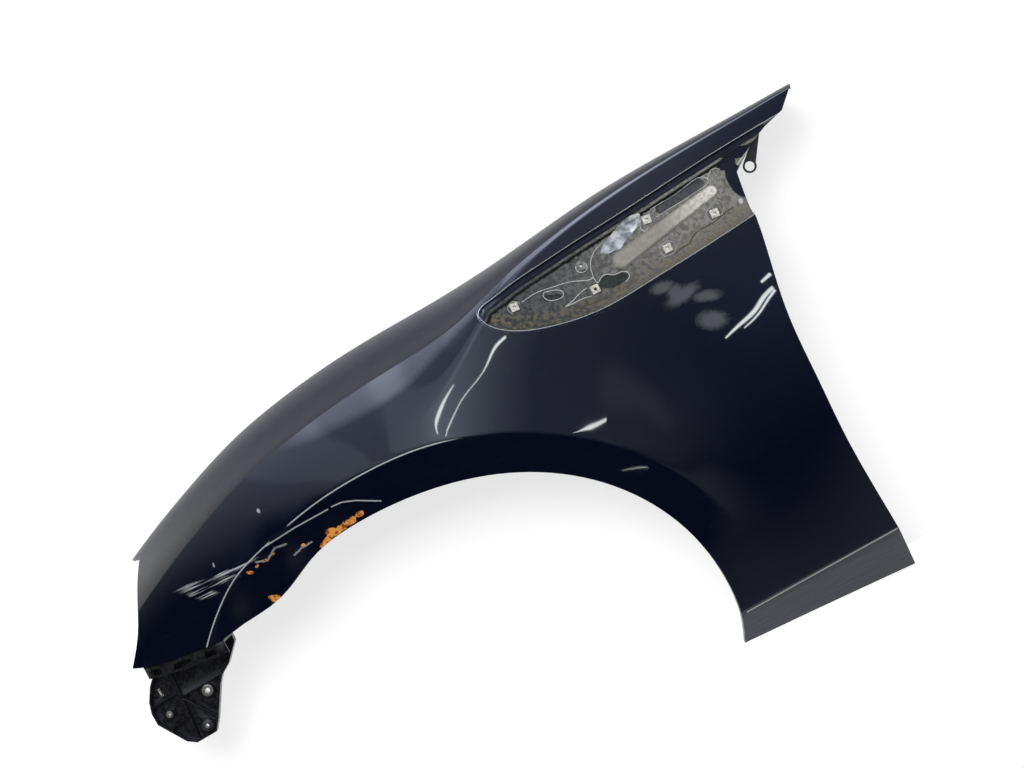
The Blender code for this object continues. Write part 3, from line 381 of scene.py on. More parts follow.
def feed(tree, socket, value):
    """Link a socket to another one, or set it to a plain value."""
    if isinstance(value, bpy.types.NodeSocket):
        tree.links.new(value, socket)
    else:
        socket.default_value = value


def add_node(tree, kind, inputs=None, **settings):
    """Add a node with its settings, and link or set its inputs."""
    node = tree.nodes.new(kind)
    for name, value in settings.items():
        setattr(node, name, value)
    for name, value in (inputs or {}).items():
        feed(tree, node.inputs[name], value)
    return node


def new_material(name):
    made = bpy.data.materials.new(name)
    made.use_nodes = True
    tree = made.node_tree
    return made, tree, tree.nodes["Principled BSDF"]


def math_node(tree, operation, *values, clamp=False):
    return add_node(tree, "ShaderNodeMath", dict(enumerate(values)), operation=operation,
                    use_clamp=clamp).outputs[0]


def times(tree, first, second):
    return math_node(tree, "MULTIPLY", first, second)


def stronger(tree, first, second):
    return math_node(tree, "MAXIMUM", first, second)


def rest_of(tree, share):
    return math_node(tree, "SUBTRACT", 1.0, share)


def vector_math(tree, operation, *values):
    return add_node(tree, "ShaderNodeVectorMath", dict(enumerate(values)), operation=operation)


def dot(tree, first, second):
    return vector_math(tree, "DOT_PRODUCT", first, second).outputs["Value"]


def ease_node(tree, value, start, end, low=0.0, high=1.0):
    """Rise smoothly from low to high while the value goes from start to end."""
    return add_node(tree, "ShaderNodeMapRange", {"Value": value, "From Min": start, "From Max": end,
                                                 "To Min": low, "To Max": high},
                    interpolation_type="SMOOTHSTEP").outputs[0]


def noise_node(tree, place, scale, detail=3.0, roughness=0.6):
    return add_node(tree, "ShaderNodeTexNoise", {"Vector": place, "Scale": scale, "Detail": detail,
                                                 "Roughness": roughness}).outputs["Fac"]


def blend_colour(tree, share, first, second):
    return add_node(tree, "ShaderNodeMix", {0: share, 6: first, 7: second},
                    data_type="RGBA").outputs[2]


def new_group(name, inputs):
    """Start a node group that turns its inputs into one mask."""
    group = bpy.data.node_groups.new(name, "ShaderNodeTree")
    for label, kind in inputs.items():
        group.interface.new_socket(label, in_out="INPUT", socket_type=kind)
    group.interface.new_socket("Mask", in_out="OUTPUT", socket_type="NodeSocketFloat")
    return group, group.nodes.new("NodeGroupInput").outputs, group.nodes.new("NodeGroupOutput")


def group_node(tree, group, inputs):
    """Place a group, whose sockets are there only once it has its tree."""
    return add_node(tree, "ShaderNodeGroup", inputs, node_tree=group).outputs["Mask"]


def roughened(group, away, given, scale, detail):
    """Add noise to a distance, so that the rim of a mark is ragged."""
    rough = math_node(group, "SUBTRACT", noise_node(group, given["Place"], scale, detail), 0.5)
    return math_node(group, "ADD", away, times(group, rough, given["Ragged"]))


soft_line, given, result = new_group("soft_line", {
    "Place": "NodeSocketVector", "Start": "NodeSocketVector", "End": "NodeSocketVector",
    "Width": "NodeSocketFloat", "Ragged": "NodeSocketFloat"})
flat = vector_math(soft_line, "MULTIPLY", given["Place"], SIDE_VIEW).outputs[0]
reach = vector_math(soft_line, "SUBTRACT", flat, given["Start"]).outputs[0]
span = vector_math(soft_line, "SUBTRACT", given["End"], given["Start"]).outputs[0]
along = math_node(soft_line, "DIVIDE", dot(soft_line, reach, span), dot(soft_line, span, span),
                  clamp=True)
step = add_node(soft_line, "ShaderNodeVectorMath", {0: span, "Scale": along},
                operation="SCALE").outputs[0]
away = vector_math(soft_line, "SUBTRACT", reach, step).outputs[0]
away = vector_math(soft_line, "LENGTH", away).outputs["Value"]
away = roughened(soft_line, away, given, 400.0, 3.0)
soft_line.links.new(ease_node(soft_line, away, given["Width"], 0.0), result.inputs["Mask"])

soft_spot, given, result = new_group("soft_spot", {
    "Place": "NodeSocketVector", "Centre": "NodeSocketVector", "Size": "NodeSocketVector",
    "Turn": "NodeSocketFloat", "Ragged": "NodeSocketFloat", "Soft": "NodeSocketFloat"})
reach = vector_math(soft_spot, "SUBTRACT", given["Place"], given["Centre"]).outputs[0]
turned = add_node(soft_spot, "ShaderNodeVectorRotate", {"Vector": reach, "Axis": (0, 1, 0),
                                                        "Angle": given["Turn"]}).outputs[0]
share = vector_math(soft_spot, "DIVIDE", turned, given["Size"]).outputs[0]
away = vector_math(soft_spot, "MULTIPLY", share, SIDE_VIEW).outputs[0]
away = vector_math(soft_spot, "LENGTH", away).outputs["Value"]
away = roughened(soft_spot, away, given, 160.0, 4.0)
outer_rim = math_node(soft_spot, "ADD", 1.0, given["Soft"])
inner_rim = rest_of(soft_spot, given["Soft"])
soft_spot.links.new(ease_node(soft_spot, away, outer_rim, inner_rim), result.inputs["Mask"])

paint, tree, shader = new_material("navy_paint")
place = add_node(tree, "ShaderNodeTexCoord").outputs["Object"]


def kept_value(tree, name):
    return add_node(tree, "ShaderNodeAttribute", attribute_name=name).outputs["Fac"]


def flat_place(x, z):
    """A place in mm from the wheel's middle, as the soft line group takes it."""
    point = at_wheel(x, z)
    return (point.x, 0, point.z)


def line_marks(paths, width, ragged=0.0):
    """Join the masks of several open paths in mm on the paint."""
    joined = None
    for path in paths:
        for start, end in zip(path, path[1:]):
            mask = group_node(tree, soft_line, {"Place": place, "Start": flat_place(*start),
                                                "End": flat_place(*end), "Width": width * MM,
                                                "Ragged": ragged * MM})
            joined = mask if joined is None else stronger(tree, joined, mask)
    return joined


def spot_marks(spots, ragged, soft):
    """Join the masks of several ovals: x, z, half length and half height in mm, turn."""
    joined = None
    for x, z, length, height, turn in spots:
        mask = group_node(tree, soft_spot, {"Place": place, "Centre": at_wheel(x, z),
                                            "Size": (length * MM, 1, height * MM),
                                            "Turn": math.radians(turn), "Ragged": ragged,
                                            "Soft": soft})
        joined = mask if joined is None else stronger(tree, joined, mask)
    return joined


def strongest(marks):
    """Join masks, each at its own strength."""
    joined = None
    for mask, strength in marks:
        mask = times(tree, mask, strength)
        joined = mask if joined is None else stronger(tree, joined, mask)
    return joined


def band(value, stops):
    """A mask that rises over the first two stops and falls over the last two."""
    return times(tree, ease_node(tree, value, stops[0], stops[1]),
                 ease_node(tree, value, stops[3], stops[2]))


def streaked(turn, scale):
    """Stretch the place along one direction of the side view, for scratches."""
    return add_node(tree, "ShaderNodeMapping", {"Vector": place, "Scale": scale,
                                                "Rotation": (0, math.radians(turn), 0)}).outputs[0]


def station(x):
    """Where a station in mm from the wheel's middle lies in the part's frame."""
    return float(at_wheel(x, 0).x)


outer_face = kept_value(tree, "outer")
from_top, from_foot = kept_value(tree, "from_top"), kept_value(tree, "from_foot")
crease, bead, channel = (kept_value(tree, name) for name in ("crease", "bead", "channel"))
coarse = noise_node(tree, place, 38.0, 4.0)
medium = noise_node(tree, place, 150.0, 4.0)
fine = noise_node(tree, place, 700.0, 3.0)
facing = add_node(tree, "ShaderNodeSeparateXYZ",
                  {0: add_node(tree, "ShaderNodeNewGeometry").outputs["Normal"]}).outputs["Z"]
parts = add_node(tree, "ShaderNodeSeparateXYZ", {0: place}).outputs
across, height = parts["X"], parts["Z"]

SMUDGES = ((474, 480, 17, 8, -8), (496, 456, 26, 10, 8), (528, 438, 20, 8, -18),
           (519, 402, 21, 13, -25), (488, 466, 12, 9, 20))
SILL_TOP = -18
SETTLED_DUST_AND_SHEEN = 0.14
SMUDGE_DUST = 0.55
HAIRLINE_DUST = 0.06
swirl = streaked(34, (30, 1, 900))
hairlines = ease_node(tree, noise_node(tree, swirl, 1.0, 4.0, 0.7), 0.56, 0.74)
# Faces that look up are laid paler: dust, and also a painted sheen of the light from above.
upward = ease_node(tree, facing, 0.62, 0.84)
front_fade = ease_node(tree, across, -0.62, -0.30, 0.35, 1.0)
settled_dust_and_sheen = times(tree, upward, front_fade)
settled_dust_and_sheen = times(tree, settled_dust_and_sheen, ease_node(tree, coarse, 0.25, 0.6, 0.75, 1.0))
smudged = spot_marks(SMUDGES, 0.9, 0.5)
below_sill = math_node(tree, "SUBTRACT", float(at_wheel(0, SILL_TOP).z), height)
sill_dust = times(tree, ease_node(tree, below_sill, 0.0, 0.012, 0.0, 0.40),
                  ease_node(tree, noise_node(tree, swirl, 0.5, 4.0), 0.35, 0.65, 0.3, 1.0))
dust_and_sheen = strongest(((settled_dust_and_sheen, SETTLED_DUST_AND_SHEEN), (smudged, SMUDGE_DUST), (sill_dust, 1.0),
                   (hairlines, HAIRLINE_DUST)))
dust_and_sheen = times(tree, dust_and_sheen, outer_face)

ADHESIVE_LINE = (16.0, 17.5, 20.5, 22.5)
ADHESIVE_WOBBLE = 7.0
CLEAN_CORNER = ((678, 613, 30, 9, -14), (656, 576, 15, 30, 0), (652, 606, 16, 9, 0))
grey = blend_colour(tree, ease_node(tree, across, station(260), station(560)),
                    RECESS_DARK, RECESS_PALE)
speckle = times(tree, ease_node(tree, fine, 0.34, 0.70, 0.80, 1.16),
                ease_node(tree, medium, 0.38, 0.62, 0.68, 1.25))
speckle = add_node(tree, "ShaderNodeCombineColor", {0: speckle, 1: speckle, 2: speckle}).outputs[0]
grey = add_node(tree, "ShaderNodeMix", {0: 1.0, 6: grey, 7: speckle}, data_type="RGBA",
                blend_type="MULTIPLY").outputs[2]
stained = times(tree, ease_node(tree, medium, 0.47, 0.62), ease_node(tree, from_foot, 40.0, 6.0))
grey = blend_colour(tree, stained, grey, RECESS_DIRT)
# The bead's dusty beige turns paler towards its rear end as a painted highlight.
beige = blend_colour(tree, ease_node(tree, across, station(500), station(625)),
                     BEAD_BEIGE, BEAD_HIGHLIGHT_PALE)
beige = blend_colour(tree, ease_node(tree, medium, 0.40, 0.62, 0.0, 0.45), beige, RECESS_PALE)
grey = blend_colour(tree, ease_node(tree, bead, 0.06, 0.22), grey, beige)
wobble = times(tree, math_node(tree, "SUBTRACT", medium, 0.5), ADHESIVE_WOBBLE)
adhesive = band(math_node(tree, "ADD", from_top, wobble), ADHESIVE_LINE)
grey = blend_colour(tree, adhesive, grey, GAP_BLACK)
upper_wall = ease_node(tree, from_top, 13.5, 11.5)
grey = blend_colour(tree, upper_wall, grey, WALL_NAVY)
channel_shadow = times(tree, ease_node(tree, channel, 0.1, 0.4), 0.75)
grey = blend_colour(tree, channel_shadow, grey, CHANNEL_DARK)
recess = times(tree, ease_node(tree, from_top, 0.0, 1.0), ease_node(tree, from_foot, 0.0, 1.0))
recess = times(tree, recess, outer_face)
clean = spot_marks(CLEAN_CORNER, 0.12, 0.08)
dirty = times(tree, recess, rest_of(tree, clean))
matt = times(tree, dirty, rest_of(tree, times(tree, upper_wall, 0.8)))
colour = blend_colour(tree, dust_and_sheen, NAVY, DUST_AND_SHEEN)
colour = blend_colour(tree, dirty, colour, grey)

# Pale lines along the arch's crease, the sill crease and the recess's top and foot edges are painted
# highlights, the arch's crease lines also partly worn paint; chips and torn paint are wear.
LIP_TOP_HIGHLIGHT = (0.02, 0.2, 0.7, 1.7)
LIP_FOOT_HIGHLIGHT = (0.02, 0.2, 0.6, 1.5)
CREASE_LINE = (-1.5, -0.3, 0.3, 1.5)
CREASE_GAP = (-232, -225, -195, -188)
CREASE_END = (105, 60)
ARCH_HIGHLIGHT_AND_SCRAPES = (((-236, 404), (-184, 409), (-127, 411)),
           ((-120, 412), (-103, 411), (-84, 404), (-51, 386)))
SILL_HIGHLIGHT_LINE = (((366, -20), (500, -16), (629, -12)),)
NOTCH_LINE = (((667, 597), (734, 630)),)
CRUMPLE_GLINT_SPOTS = ((-343, 393, 44, 6, -12), (-356, 381, 30, 7, -32), (-300, 396, 36, 4, -2))
CHIPS = ((-223, 456, 2.4, 3.4, 10), (-322, 414, 1.4, 3.6, 0), (-368, 304, 1.6, 1.6, 0),
         (645, 544, 3, 4, 0))
TORN_LINE = (((-260, 389), (-244, 384), (-226, 395), (-208, 393)),
             ((-205, 372), (-190, 377), (-172, 378)))
crease_run = ease_node(tree, across, station(CREASE_END[0]), station(CREASE_END[1]))
crease_gap = rest_of(tree, band(across, [station(x) for x in CREASE_GAP]))
crease_highlight_and_wear = times(tree, band(crease, CREASE_LINE), times(tree, crease_run, crease_gap))
# Streaks over the crumpled front are painted reflections; the same mask also raises the bump there.
streaks = noise_node(tree, streaked(-20, (14, 1, 300)), 1.0, 3.0, 0.5)
crumple_glints = times(tree, spot_marks(CRUMPLE_GLINT_SPOTS, 0.5, 0.45), ease_node(tree, streaks, 0.46, 0.60))
highlights_and_wear = strongest((
    (line_marks(ARCH_HIGHLIGHT_AND_SCRAPES, 1.6), 1.0), (line_marks(SILL_HIGHLIGHT_LINE, 1.8), 0.5),
    (line_marks(NOTCH_LINE, 1.5), 0.7), (crease_highlight_and_wear, 0.9), (band(from_top, LIP_TOP_HIGHLIGHT), 0.75),
    (band(from_foot, LIP_FOOT_HIGHLIGHT), 0.6), (crumple_glints, 0.8), (spot_marks(CHIPS, 0.8, 0.4), 0.6),
    (line_marks(TORN_LINE, 2.4, 5.0), 0.6)))
highlights_and_wear = times(tree, highlights_and_wear, outer_face)
colour = blend_colour(tree, highlights_and_wear, colour, HIGHLIGHT_AND_WEAR_PALE)

RUST = ((-140, 378, 8, 7, 0), (-88, 383, 7, 4.5, 0), (-275, 379, 5, 2.6, -30),
        (-262, 383, 3, 2, 0), (-248, 385, 4, 1.8, 0), (-232, 388, 4, 1.8, 10),
        (-186, 380, 3.4, 2, 0), (-262, 326, 10, 6, -35))
RUSTED_LIP = (((-160, 365), (-140, 373), (-121, 377), (-100, 380)),)
lip_rust = ease_node(tree, line_marks(RUSTED_LIP, 7.0, 10.0), 0.2, 0.3)
rusted = stronger(tree, spot_marks(RUST, 1.3, 0.10), lip_rust)
rusted = times(tree, rusted, outer_face)
rust_colour = blend_colour(tree, ease_node(tree, medium, 0.50, 0.62), RUST_ORANGE, RUST_BROWN)
colour = blend_colour(tree, rusted, colour, rust_colour)
inner = rest_of(tree, outer_face)
primed = times(tree, inner, ease_node(tree, coarse, 0.35, 0.65, 0.35, 0.9))
colour = blend_colour(tree, primed, colour, INNER_PAINT)
tree.links.new(colour, shader.inputs["Base Color"])

FLAKE_METAL = 0.5
INNER_DULL = 0.55
CLEAR_ROUGHNESS, DULL_ROUGHNESS = 0.42, 0.4
top_haze = times(tree, ease_node(tree, facing, 0.64, 0.86, 0.0, 0.72), outer_face)
dull = stronger(tree, stronger(tree, matt, rusted), stronger(tree, dust_and_sheen, top_haze))
dull = stronger(tree, dull, times(tree, inner, INNER_DULL))
clear = math_node(tree, "SUBTRACT", 1.0, dull, clamp=True)
tree.links.new(clear, shader.inputs["Coat Weight"])
tree.links.new(times(tree, clear, FLAKE_METAL), shader.inputs["Metallic"])
roughness = math_node(tree, "ADD", CLEAR_ROUGHNESS, times(tree, dull, DULL_ROUGHNESS))
tree.links.new(roughness, shader.inputs["Roughness"])
shader.inputs["Coat Roughness"].default_value = 0.035
shader.inputs["Specular Tint"].default_value = (0.12, 0.14, 0.22, 1)
shader.inputs["Specular IOR Level"].default_value = 0.1
relief = math_node(tree, "ADD",
                   times(tree, fine, math_node(tree, "ADD", matt, times(tree, rusted, 0.9))),
                   times(tree, medium, times(tree, crumple_glints, 1.2)))
bump = add_node(tree, "ShaderNodeBump", {"Height": relief, "Strength": 0.6, "Distance": 0.6 * MM})
tree.links.new(bump.outputs[0], shader.inputs["Normal"])
fender.data.materials.append(paint)


# Sealer lines and torn film in the recess
# Beads of pale body sealer and the torn edges of a protective film, which stand about a
# millimetre out of the recess's floor. The dark sheet behind its openings is an assumed piece,
# put there as painted shade in the openings.
SEALER_WIDTH = 0.75 * MM
SEALER_SINK = 0.2 * MM
FRAME_WIDTH = 0.7 * MM
DIRT_WIDTH = 1.3 * MM
DIRT_SINK = 0.6 * MM
BEAD_STEP = 2.5 * MM
SEALER_PATHS = (
    ((274, 557), (300, 560), (330, 556), (362, 549), (389, 543), (391, 553), (397, 566),
     (409, 577), (424, 583)),
    ((389, 543), (392, 531), (399, 536), (409, 537), (419, 531), (431, 530), (440, 524),
     (438, 517), (430, 514)),
    ((330, 521), (341, 523), (358, 529), (372, 532)),
    ((330, 521), (345, 520), (360, 520), (374, 517)),
    ((518, 581), (540, 583), (566, 585), (590, 588), (606, 590), (616, 595), (612, 603), (600, 606),
     (580, 603), (556, 599), (530, 597), (515, 596)),
    ((307, 549), (309, 554), (316, 554), (333, 548), (337, 543), (334, 537), (327, 536),
     (310, 543), (307, 549)),
    ((500, 573), (493, 569), (489, 574), (492, 584), (499, 592)),
    ((616, 597), (624, 606), (632, 608), (640, 602)),
)
FRAME_PATHS = (
    ((501, 521), (500, 535), (506, 539), (521, 537), (524, 526), (517, 520), (501, 521)),
    ((589, 536), (588, 551), (598, 557), (615, 561), (618, 556), (612, 541), (602, 536),
     (589, 536)),
    ((254, 546), (250, 558), (256, 563), (266, 562), (270, 556)),
)
DIRT_PATHS = (((518, 517), (530, 521), (545, 522), (553, 528), (562, 532), (585, 533),
               (612, 538), (630, 541)),
              ((340, 512), (370, 507), (410, 505), (450, 508)))


def laid_line(name, paths, width, sink):
    """Lay round beads along paths on the skin, as one mesh."""
    curve = bpy.data.curves.new(name, "CURVE")
    curve.dimensions = "3D"
    curve.bevel_depth = width
    curve.bevel_resolution = 2
    curve.use_fill_caps = True
    for path in paths:
        points = trace(path, BEAD_STEP)
        spline_points = curve.splines.new("POLY")
        spline_points.points.add(len(points) - 1)
        for k, (px, pz) in enumerate(points):
            depth = float(skin(np.array([px]), np.array([pz]))[0])
            spline_points.points[k].co = (*(Vector((px, depth + sink, pz)) - datum), 1)
    bead_object = bpy.data.objects.new(name, curve)
    bpy.context.scene.collection.objects.link(bead_object)
    select_only(bead_object)
    bpy.ops.object.convert(target="MESH")
    bpy.ops.object.mode_set(mode="EDIT")
    bpy.ops.mesh.select_all(action="SELECT")
    bpy.ops.mesh.remove_doubles(threshold=MERGE)
    bpy.ops.mesh.normals_make_consistent(inside=False)
    bpy.ops.object.mode_set(mode="OBJECT")
    bpy.ops.object.shade_smooth()
    return bpy.context.object


def plain_finish(name, colour, second, roughness, scale, metallic=0.0, bump_size=0.2 * MM,
                 coat=0.0):
    """A material of two mottled colours with a grained surface."""
    made, tree, shader = new_material(name)
    place = add_node(tree, "ShaderNodeTexCoord").outputs["Object"]
    mottle = noise_node(tree, place, scale, 4.0)
    tone = ease_node(tree, mottle, 0.36, 0.64)
    tree.links.new(blend_colour(tree, tone, (*colour, 1), (*second, 1)), shader.inputs["Base Color"])
    tree.links.new(ease_node(tree, mottle, 0.3, 0.7, roughness - 0.08, roughness + 0.10),
                   shader.inputs["Roughness"])
    shader.inputs["Metallic"].default_value = metallic
    shader.inputs["Coat Weight"].default_value = coat
    relief = add_node(tree, "ShaderNodeBump", {"Height": noise_node(tree, place, scale * 6),
                                               "Strength": 0.5, "Distance": bump_size})
    tree.links.new(relief.outputs[0], shader.inputs["Normal"])
    return made


sealer = laid_line("recess_sealer", SEALER_PATHS, SEALER_WIDTH, SEALER_SINK)
sealer.data.materials.append(
    plain_finish("sealer", (0.50, 0.51, 0.52), (0.30, 0.31, 0.32), 0.35, 300))
frames = laid_line("clip_frames", FRAME_PATHS, FRAME_WIDTH, SEALER_SINK)
frames.data.materials.append(
    plain_finish("frame_edge", (0.36, 0.36, 0.35), (0.22, 0.22, 0.21), 0.4, 300))
dirt = laid_line("dirt_ridges", DIRT_PATHS, DIRT_WIDTH, DIRT_SINK)
dirt.data.materials.append(
    plain_finish("dirt", (0.115, 0.095, 0.060), (0.050, 0.042, 0.030), 0.85, 500))
for piece in (sealer, frames, dirt):
    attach(piece, "root")

FILM_OUTLINE = ((424, 564), (413, 570), (424, 581), (452, 593), (478, 602), (498, 599),
                (496, 588), (487, 580), (466, 572), (446, 561))
FILM_STEP = 1.4 * MM
FILM_WALL = 0.15 * MM
FILM_STAND = 0.5 * MM
FILM_FOLDS = 2.4 * MM
SHADE_BACKING_OUTLINE = ((280, 516), (276, 562), (338, 564), (362, 552), (392, 554), (424, 558),
                (454, 540), (456, 512), (430, 504), (392, 504), (340, 504))
FILM_SHADE_ANGLE = math.radians(30)
SHADE_BACKING_STEP = 6 * MM
SHADE_BACKING_WALL = 4 * MM
SHADE_BACKING_GAP = 1.4 * MM


def laid_sheet(name, corners, step, offset, folds, wall, finish):
    """Cut a thin sheet to an outline and lay it along the skin, with folds if it is crumpled."""
    outline = np.array(corners, float) * MM
    least, most = outline.min(axis=0), outline.max(axis=0)
    columns, rows = (int(count) for count in np.ceil((most - least) / step))
    centre = (least + most) / 2
    bpy.ops.object.select_all(action="DESELECT")
    bpy.ops.mesh.primitive_grid_add(x_subdivisions=columns, y_subdivisions=rows, size=1,
                                    location=(centre[0], 0, centre[1]),
                                    rotation=(math.radians(90), 0, 0))
    piece = bpy.context.object
    piece.name = name
    piece.scale = (*(most - least), 1)
    bpy.ops.object.transform_apply(location=True, rotation=True, scale=True)
    sheet = bmesh.new()
    sheet.from_mesh(piece.data)
    flat = np.array([(vert.co.x, vert.co.z) for vert in sheet.verts])
    kept = inside(outline, flat[:, 0], flat[:, 1])
    depths = skin(flat[:, 0], flat[:, 1])
    for vert, depth in zip(sheet.verts, depths):
        px, pz = vert.co.x, vert.co.z
        broad = abs(mathutils.noise.noise(Vector((px * 60 + pz * 40, 0, pz * 110 - px * 40))))
        narrow = abs(mathutils.noise.noise(Vector((px * 200, 5, pz * 260))))
        vert.co = Vector((px, depth + offset - folds * (broad + 0.4 * narrow), pz)) - datum
    beyond = [vert for vert, keep in zip(list(sheet.verts), kept) if not keep]
    bmesh.ops.delete(sheet, geom=beyond, context="VERTS")
    sheet.to_mesh(piece.data)
    sheet.free()
    layer = piece.modifiers.new("Wall", "SOLIDIFY")
    layer.thickness = wall
    layer.offset = 0
    select_only(piece)
    bpy.ops.object.modifier_apply(modifier="Wall")
    bpy.ops.object.mode_set(mode="EDIT")
    bpy.ops.mesh.select_all(action="SELECT")
    bpy.ops.mesh.normals_make_consistent(inside=False)
    bpy.ops.object.mode_set(mode="OBJECT")
    bpy.ops.object.shade_smooth_by_angle(angle=FILM_SHADE_ANGLE)
    piece.data.materials.append(finish)
    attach(piece, "root")


laid_sheet("torn_film", FILM_OUTLINE, FILM_STEP, -FILM_STAND, FILM_FOLDS, FILM_WALL,
           plain_finish("torn_film", (0.50, 0.52, 0.55), (0.14, 0.15, 0.18), 0.25, 70, coat=0.8))
# A dark sheet behind the recess's openings, as their painted shade.
laid_sheet("shade_backing", SHADE_BACKING_OUTLINE, SHADE_BACKING_STEP, SHADE_BACKING_GAP + SHADE_BACKING_WALL / 2, 0, SHADE_BACKING_WALL,
           plain_finish("shade_backing", (0.012, 0.015, 0.014), (0.034, 0.040, 0.037), 0.85, 240))


# Trim clips
# Square clips of pale nylon, pushed through the recess's floor. Each has a square head with a
# sunken middle, where the stem's hollow opens.
CLIP_EDGE = 0.35 * MM
FLAT_ANGLE = math.radians(1)
ROUND_ANGLE = math.radians(30)
SHADE_ANGLE = math.radians(32)


def finished_copy(node, name, width, finish, steps=2):
    """A plain solid with its facets joined and its edges rounded, in its finish."""
    piece = merged_copy(node, name)
    bpy.ops.object.mode_set(mode="EDIT")
    bpy.ops.mesh.select_all(action="SELECT")
    bpy.ops.mesh.dissolve_limited(angle_limit=FLAT_ANGLE)
    bpy.ops.object.mode_set(mode="OBJECT")
    rounding = piece.modifiers.new("Rounding", "BEVEL")
    rounding.width = width
    rounding.segments = steps
    rounding.limit_method = "ANGLE"
    rounding.angle_limit = ROUND_ANGLE
    bpy.ops.object.modifier_apply(modifier="Rounding")
    bpy.ops.object.shade_smooth_by_angle(angle=SHADE_ANGLE)
    piece.data.materials.append(finish)
    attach(piece, "root")
    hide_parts(node)
    return piece


clip_nylon = plain_finish("clip_nylon", (0.62, 0.61, 0.55), (0.36, 0.35, 0.31), 0.42, 260)
for number in range(1, 6):
    finished_copy(f"pocket_clip_{number}", f"trim_clip_{number}", CLIP_EDGE,
                  clip_nylon)


# Grommet
# A ring of dark rubber pressed into the recess's floor, whose stem goes through the panel. A
# pale smear of sealer lies round it.
GROMMET_EDGE = 0.4 * MM
SMEAR_WIDTH = 0.9 * MM
SMEAR_STAND = 2.6 * MM

finished_copy("pocket_grommet", "rubber_grommet", GROMMET_EDGE,
              plain_finish("grommet_rubber", (0.10, 0.10, 0.10), (0.24, 0.24, 0.23), 0.6, 300))
SMEAR_PATH = (((372, 569), (371, 563), (375, 557), (383, 556), (388, 561), (387, 568)),)
smear = laid_line("grommet_smear", SMEAR_PATH, SMEAR_WIDTH, -SMEAR_STAND)
smear.data.materials.append(sealer.data.materials[0])
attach(smear, "root")


# Bumper bracket
# A tray moulded in black glass-filled plastic, with ribs, bosses and a windowed rail, held
# under the fender's lower edge by two rivets.
BRACKET_EDGE = 0.7 * MM

bracket_finish = plain_finish("bracket_plastic", (0.0045, 0.0045, 0.0055), (0.013, 0.013, 0.016),
                              0.22, 160, bump_size=0.12 * MM)
finished_copy("front_bracket", "bumper_bracket", BRACKET_EDGE, bracket_finish)


# Fixings of the bracket
# A lipped steel sleeve, a captive nut and an insert stand in the bosses, a spring clip sits in
# the tray's edge, and plastic rivets close the joint to the fender.
FIXING_EDGE = 0.25 * MM

bright_steel = plain_finish("plated_steel", (0.62, 0.60, 0.54), (0.40, 0.38, 0.33), 0.28, 500,
                            metallic=0.9)
dark_steel = plain_finish("dark_steel", (0.16, 0.16, 0.17), (0.07, 0.07, 0.075), 0.38, 500,
                          metallic=0.9)
rivet_black = plain_finish("rivet_plastic", (0.016, 0.016, 0.018), (0.03, 0.03, 0.032), 0.5, 400)
for node, name, slot_name, finish in (
        ("bracket_sleeve", "steel_sleeve", "plated_steel", bright_steel),
        ("bracket_insert", "threaded_insert", "plated_steel", bright_steel),
        ("bracket_spring_clip", "spring_clip", "plated_steel", bright_steel),
        ("bracket_nut", "captive_nut", "dark_steel", dark_steel),
        ("bracket_rivet_1", "rivet_front", "rivet_plastic", rivet_black),
        ("bracket_rivet_2", "rivet_rear", "rivet_plastic", rivet_black)):
    finished_copy(node, name, FIXING_EDGE, finish)


# Rear bracket
# A lug of sheet steel, dipped black, whose eyelet takes the bolt at the windscreen's foot. Its
# foot lies on the returned edge of the rear notch.
LUG_EDGE = 0.4 * MM

finished_copy("rear_bracket", "rear_lug", LUG_EDGE,
              plain_finish("bracket_steel", (0.012, 0.012, 0.015), (0.030, 0.030, 0.034), 0.35,
                           260, coat=0.5))


# Stage
# A white board close behind the part, which shows only from its front and doesn't act on the
# light, and a pale floor. Both look white to the eye and to glossy surfaces.
UP = Vector((0.454, 0, 0.891))
CAMERA_PLACE = (204, 453, -2200)
LENS = 51.6
BOARD_GAP = 6 * MM
FLOOR_GAP = 2 * MM
FLOOR_FRONT = 0.03
BOARD_SIZE = 6
BOARD_LIFT, BOARD_ALBEDO = 0.66, 0.45
FLOOR_LIFT, FLOOR_ALBEDO = 0.75, 0.6

low, high = (Vector(corner) for corner in cad_bounds)
right = Vector((0, 1, 0)).cross(UP)
board_y = high.y + BOARD_GAP


def stage_plane(name, size, location, rotation):
    bpy.ops.object.select_all(action="DESELECT")
    bpy.ops.mesh.primitive_plane_add(size=1, location=location, rotation=rotation)
    plane = bpy.context.object
    plane.name = name
    plane.scale = (*size, 1)
    bpy.ops.object.transform_apply(location=True, rotation=True, scale=True)
    return plane


middle_x = (low.x + high.x) / 2
floor_z = low.z - FLOOR_GAP
floor_depth_y = board_y - (low.y - FLOOR_FRONT)
board = stage_plane("white_board", (BOARD_SIZE, BOARD_SIZE),
                    (middle_x, board_y, floor_z + BOARD_SIZE / 2), (math.radians(90), 0, 0))
floor = stage_plane("pale_floor", (BOARD_SIZE, floor_depth_y),
                    (middle_x, board_y - floor_depth_y / 2, floor_z), (0, 0, 0))


